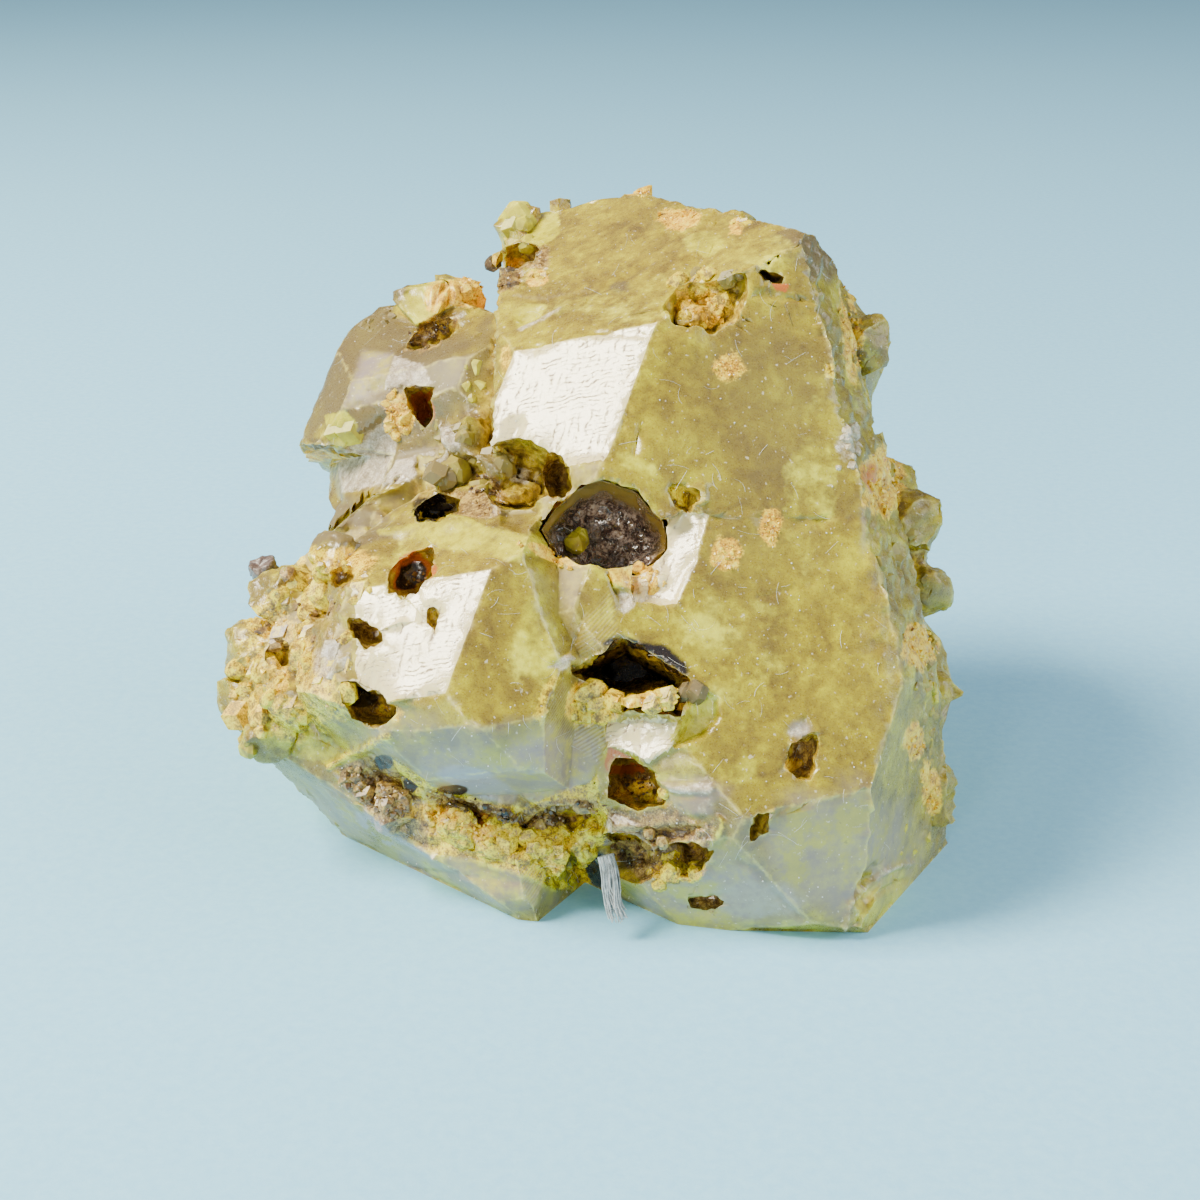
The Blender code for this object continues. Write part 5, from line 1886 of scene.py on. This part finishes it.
@dataclass
class Dust:
    """White specks, lint and hair scratches that lie on the faces."""
    specks: int = 700
    hairs: int = 240
    left: float = 330.0
    right: float = 900.0
    top: float = 230.0
    bottom: float = 900.0
    speck_size: float = 0.016
    speck_growth: float = 0.05
    speck_lift: float = 0.02
    hair_lift: float = 0.03
    hair_step: float = 4.5
    hair_gap: float = 1.1
    hair_radii: Pair = (0.005, 0.012)

    def build(self, ground: Ground, material: bpy.types.Material) -> bpy.types.Object:
        """Build the dust.

        Args:
            ground: The solids that it lies on.
            material: Its material.

        Returns:
            The dust as one piece.
        """
        chance = random.Random("dust")
        mesh, ball = bmesh.new(), bmesh.new()
        bmesh.ops.create_icosphere(ball, subdivisions=1, radius=1.0)
        speck = Template.keep("speck_shape", ball)
        for _ in range(self.specks):
            seen = ground.seen((chance.uniform(self.left, self.right), chance.uniform(self.top, self.bottom)))
            size = self.speck_size + self.speck_growth * chance.random() ** 2
            if seen is None:
                continue
            speck.add(mesh, Matrix.Translation(seen[0] + seen[1] * self.speck_lift) @ Matrix.Scale(size, 4))
        speck.drop()
        for _ in range(self.hairs):
            self.add_hair(mesh, ground, chance)
        return grown("dust_and_lint", mesh, material, 60.0)

    def add_hair(self, mesh: bmesh.types.BMesh, ground: Ground, chance: random.Random) -> None:
        """Add a hair that follows the surface.

        Args:
            mesh: The mesh to add to.
            ground: The solids that it lies on.
            chance: The source of its place and bend.
        """
        picture = [chance.uniform(self.left, self.right), chance.uniform(self.top, self.bottom)]
        heading, bend = chance.uniform(0, math.tau), chance.uniform(-0.35, 0.35)
        path: list[Vector] = []
        for _ in range(chance.randint(3, 6)):
            seen = ground.seen(tuple(picture))
            if seen is None or (path and (seen[0] - path[-1]).length > self.hair_gap):
                break
            path.append(seen[0] + seen[1] * self.hair_lift)
            picture[0] += math.cos(heading) * self.hair_step
            picture[1] += math.sin(heading) * self.hair_step
            heading += bend
        if len(path) > 2:
            own = bmesh.new()
            add_fibre(own, path, chance.uniform(*self.hair_radii), 3)
            hair = Template.keep("hair_shape", own)
            hair.add(mesh, Matrix())
            hair.drop()


@dataclass
class Stage:
    """The pale floor, the soft lights and the camera."""
    floor_size: float = 12.0
    middle: Triple = (0.0, 0.0, 0.022)
    key_aim: Triple = (-0.673, -0.12, 0.728)
    key_distance: float = 0.6
    key_size: float = 0.24
    key_power: float = 10.5
    warm: Triple = (1.0, 0.93, 0.78)
    cool: Triple = (0.93, 0.97, 1.0)
    fill_aim: Triple = (0.85, -0.25, 0.45)
    fill_size: float = 0.5
    fill_power: float = 3.2
    front_aim: Triple = (-0.35, -0.9, 0.25)
    front_size: float = 0.09
    front_power: float = 1.3
    sky: Triple = (0.92, 0.96, 1.0)
    sky_strength: float = 0.40

    def build(self) -> None:
        """Build the stage."""
        self.floor()
        self.light("key_softbox", Vector(self.key_aim), self.key_size, self.key_power, self.warm)
        self.light("front_softbox", Vector(self.front_aim), self.front_size, self.front_power, self.warm)
        self.light("fill_softbox", Vector(self.fill_aim), self.fill_size, self.fill_power, self.cool)
        world = bpy.data.worlds.new("soft_surround")
        world.use_nodes = True
        back = world.node_tree.nodes["Background"]
        back.inputs["Color"].default_value = (*self.sky, 1.0)
        back.inputs["Strength"].default_value = self.sky_strength
        bpy.context.scene.world = world
        self.camera()

    def floor(self) -> None:
        """Lay the paper floor."""
        mesh = bmesh.new()
        bmesh.ops.create_grid(mesh, x_segments=4, y_segments=4, size=self.floor_size / 2)
        data = bpy.data.meshes.new("paper_floor")
        mesh.to_mesh(data)
        mesh.free()
        data.materials.append(FloorFinish().build())
        floor = bpy.data.objects.new("paper_floor", data)
        bpy.context.scene.collection.objects.link(floor)

    def light(self, name: str, aim: Vector, size: float, power: float, colour: Triple) -> None:
        """Hang a softbox.

        Args:
            name: Its name.
            aim: The direction from the specimen to it.
            size: Its side.
            power: Its power in watts.
            colour: Its colour.
        """
        lamp = bpy.data.lights.new(name, "AREA")
        lamp.shape, lamp.size, lamp.energy, lamp.color = "SQUARE", size, power, colour
        made = bpy.data.objects.new(name, lamp)
        way = aim.normalized()
        made.matrix_world = Matrix.Translation(Vector(self.middle) + way * self.key_distance) @ \
            way.to_track_quat("Z", "Y").to_matrix().to_4x4()
        bpy.context.scene.collection.objects.link(made)

    @staticmethod
    def camera() -> None:
        """Set the camera at the eye."""
        lens = bpy.data.cameras.new("display_camera")
        lens.lens, lens.sensor_width, lens.clip_start = DISPLAY.lens, DISPLAY.sensor, 0.005
        made = bpy.data.objects.new("display_camera", lens)
        place = DISPLAY.matrix() @ Matrix.Translation((0, 0, DISPLAY.eye_distance))
        turn = DISPLAY.matrix().to_3x3().normalized().to_4x4()
        made.matrix_world = Matrix.Translation(place.translation) @ turn
        bpy.context.scene.collection.objects.link(made)
        bpy.context.scene.camera = made


OCHRE_FINISH = CrystalFinish("ochre_crumb_finish", (
    (0.38, (0.28, 0.12, 0.005)), (0.46, (0.66, 0.37, 0.006)), (0.54, (0.98, 0.66, 0.015)),
    (0.66, (1.0, 0.85, 0.12))), rough=0.3, mottle=0.8, soft=0.1)
BROWN_FINISH = CrystalFinish("brown_crumb_finish", (
    (0.38, (0.035, 0.018, 0.010)), (0.5, (0.13, 0.07, 0.025)), (0.62, (0.40, 0.25, 0.07))),
    rough=0.18, mottle=0.7)
CRUST_FINISH = CrystalFinish("dark_crust_finish", (
    (0.42, (0.028, 0.016, 0.014)), (0.5, (0.11, 0.065, 0.052)), (0.60, (0.52, 0.40, 0.33))),
    rough=0.13, mottle=1.1, relief=0.05, coat=1.0)
GRAIN_FINISH = CrystalFinish("dark_grain_finish", (
    (0.35, (0.05, 0.03, 0.03)), (0.5, (0.14, 0.09, 0.07)), (0.68, (0.45, 0.40, 0.36))), rough=0.4)
FIBRE_FINISH = CrystalFinish("fibre_finish", (
    (0.3, (0.14, 0.15, 0.15)), (0.5, (0.42, 0.46, 0.46)), (0.7, (0.75, 0.78, 0.78))),
    rough=0.5, mottle=2.0)
DUST_FINISH = CrystalFinish("dust_finish", (
    (0.3, (0.75, 0.74, 0.66)), (0.7, (0.92, 0.92, 0.88))), rough=0.5)


def main() -> None:
    """Build the specimen's looks."""
    logging.basicConfig(level=logging.INFO)
    ground = Ground(("garnet_cluster", "great_hollow_crust", "black_hole_crust"))
    garnet = GarnetFinish().build()
    GarnetBody().build(ground, garnet)
    GreatHollowCrust().build(CRUST_FINISH.build())
    ochre = OCHRE_FINISH.build()
    BlackHoleCrust().build(ochre)
    EdgeGrain().build(GRAIN_FINISH.build())
    FibreTuft().build(FIBRE_FINISH.build())
    Crumbs("ochre_crumbs", "ochre_crust", OCHRE_ZONES).build(ground, ochre)
    Crumbs("brown_crumbs", "dark_crust", BROWN_ZONES).build(ground, BROWN_FINISH.build())
    Crystallites(GROWTHS).build(ground, garnet)
    Dust().build(ground, DUST_FINISH.build())
    Stage().build()


if __name__ == "__main__":
    main()
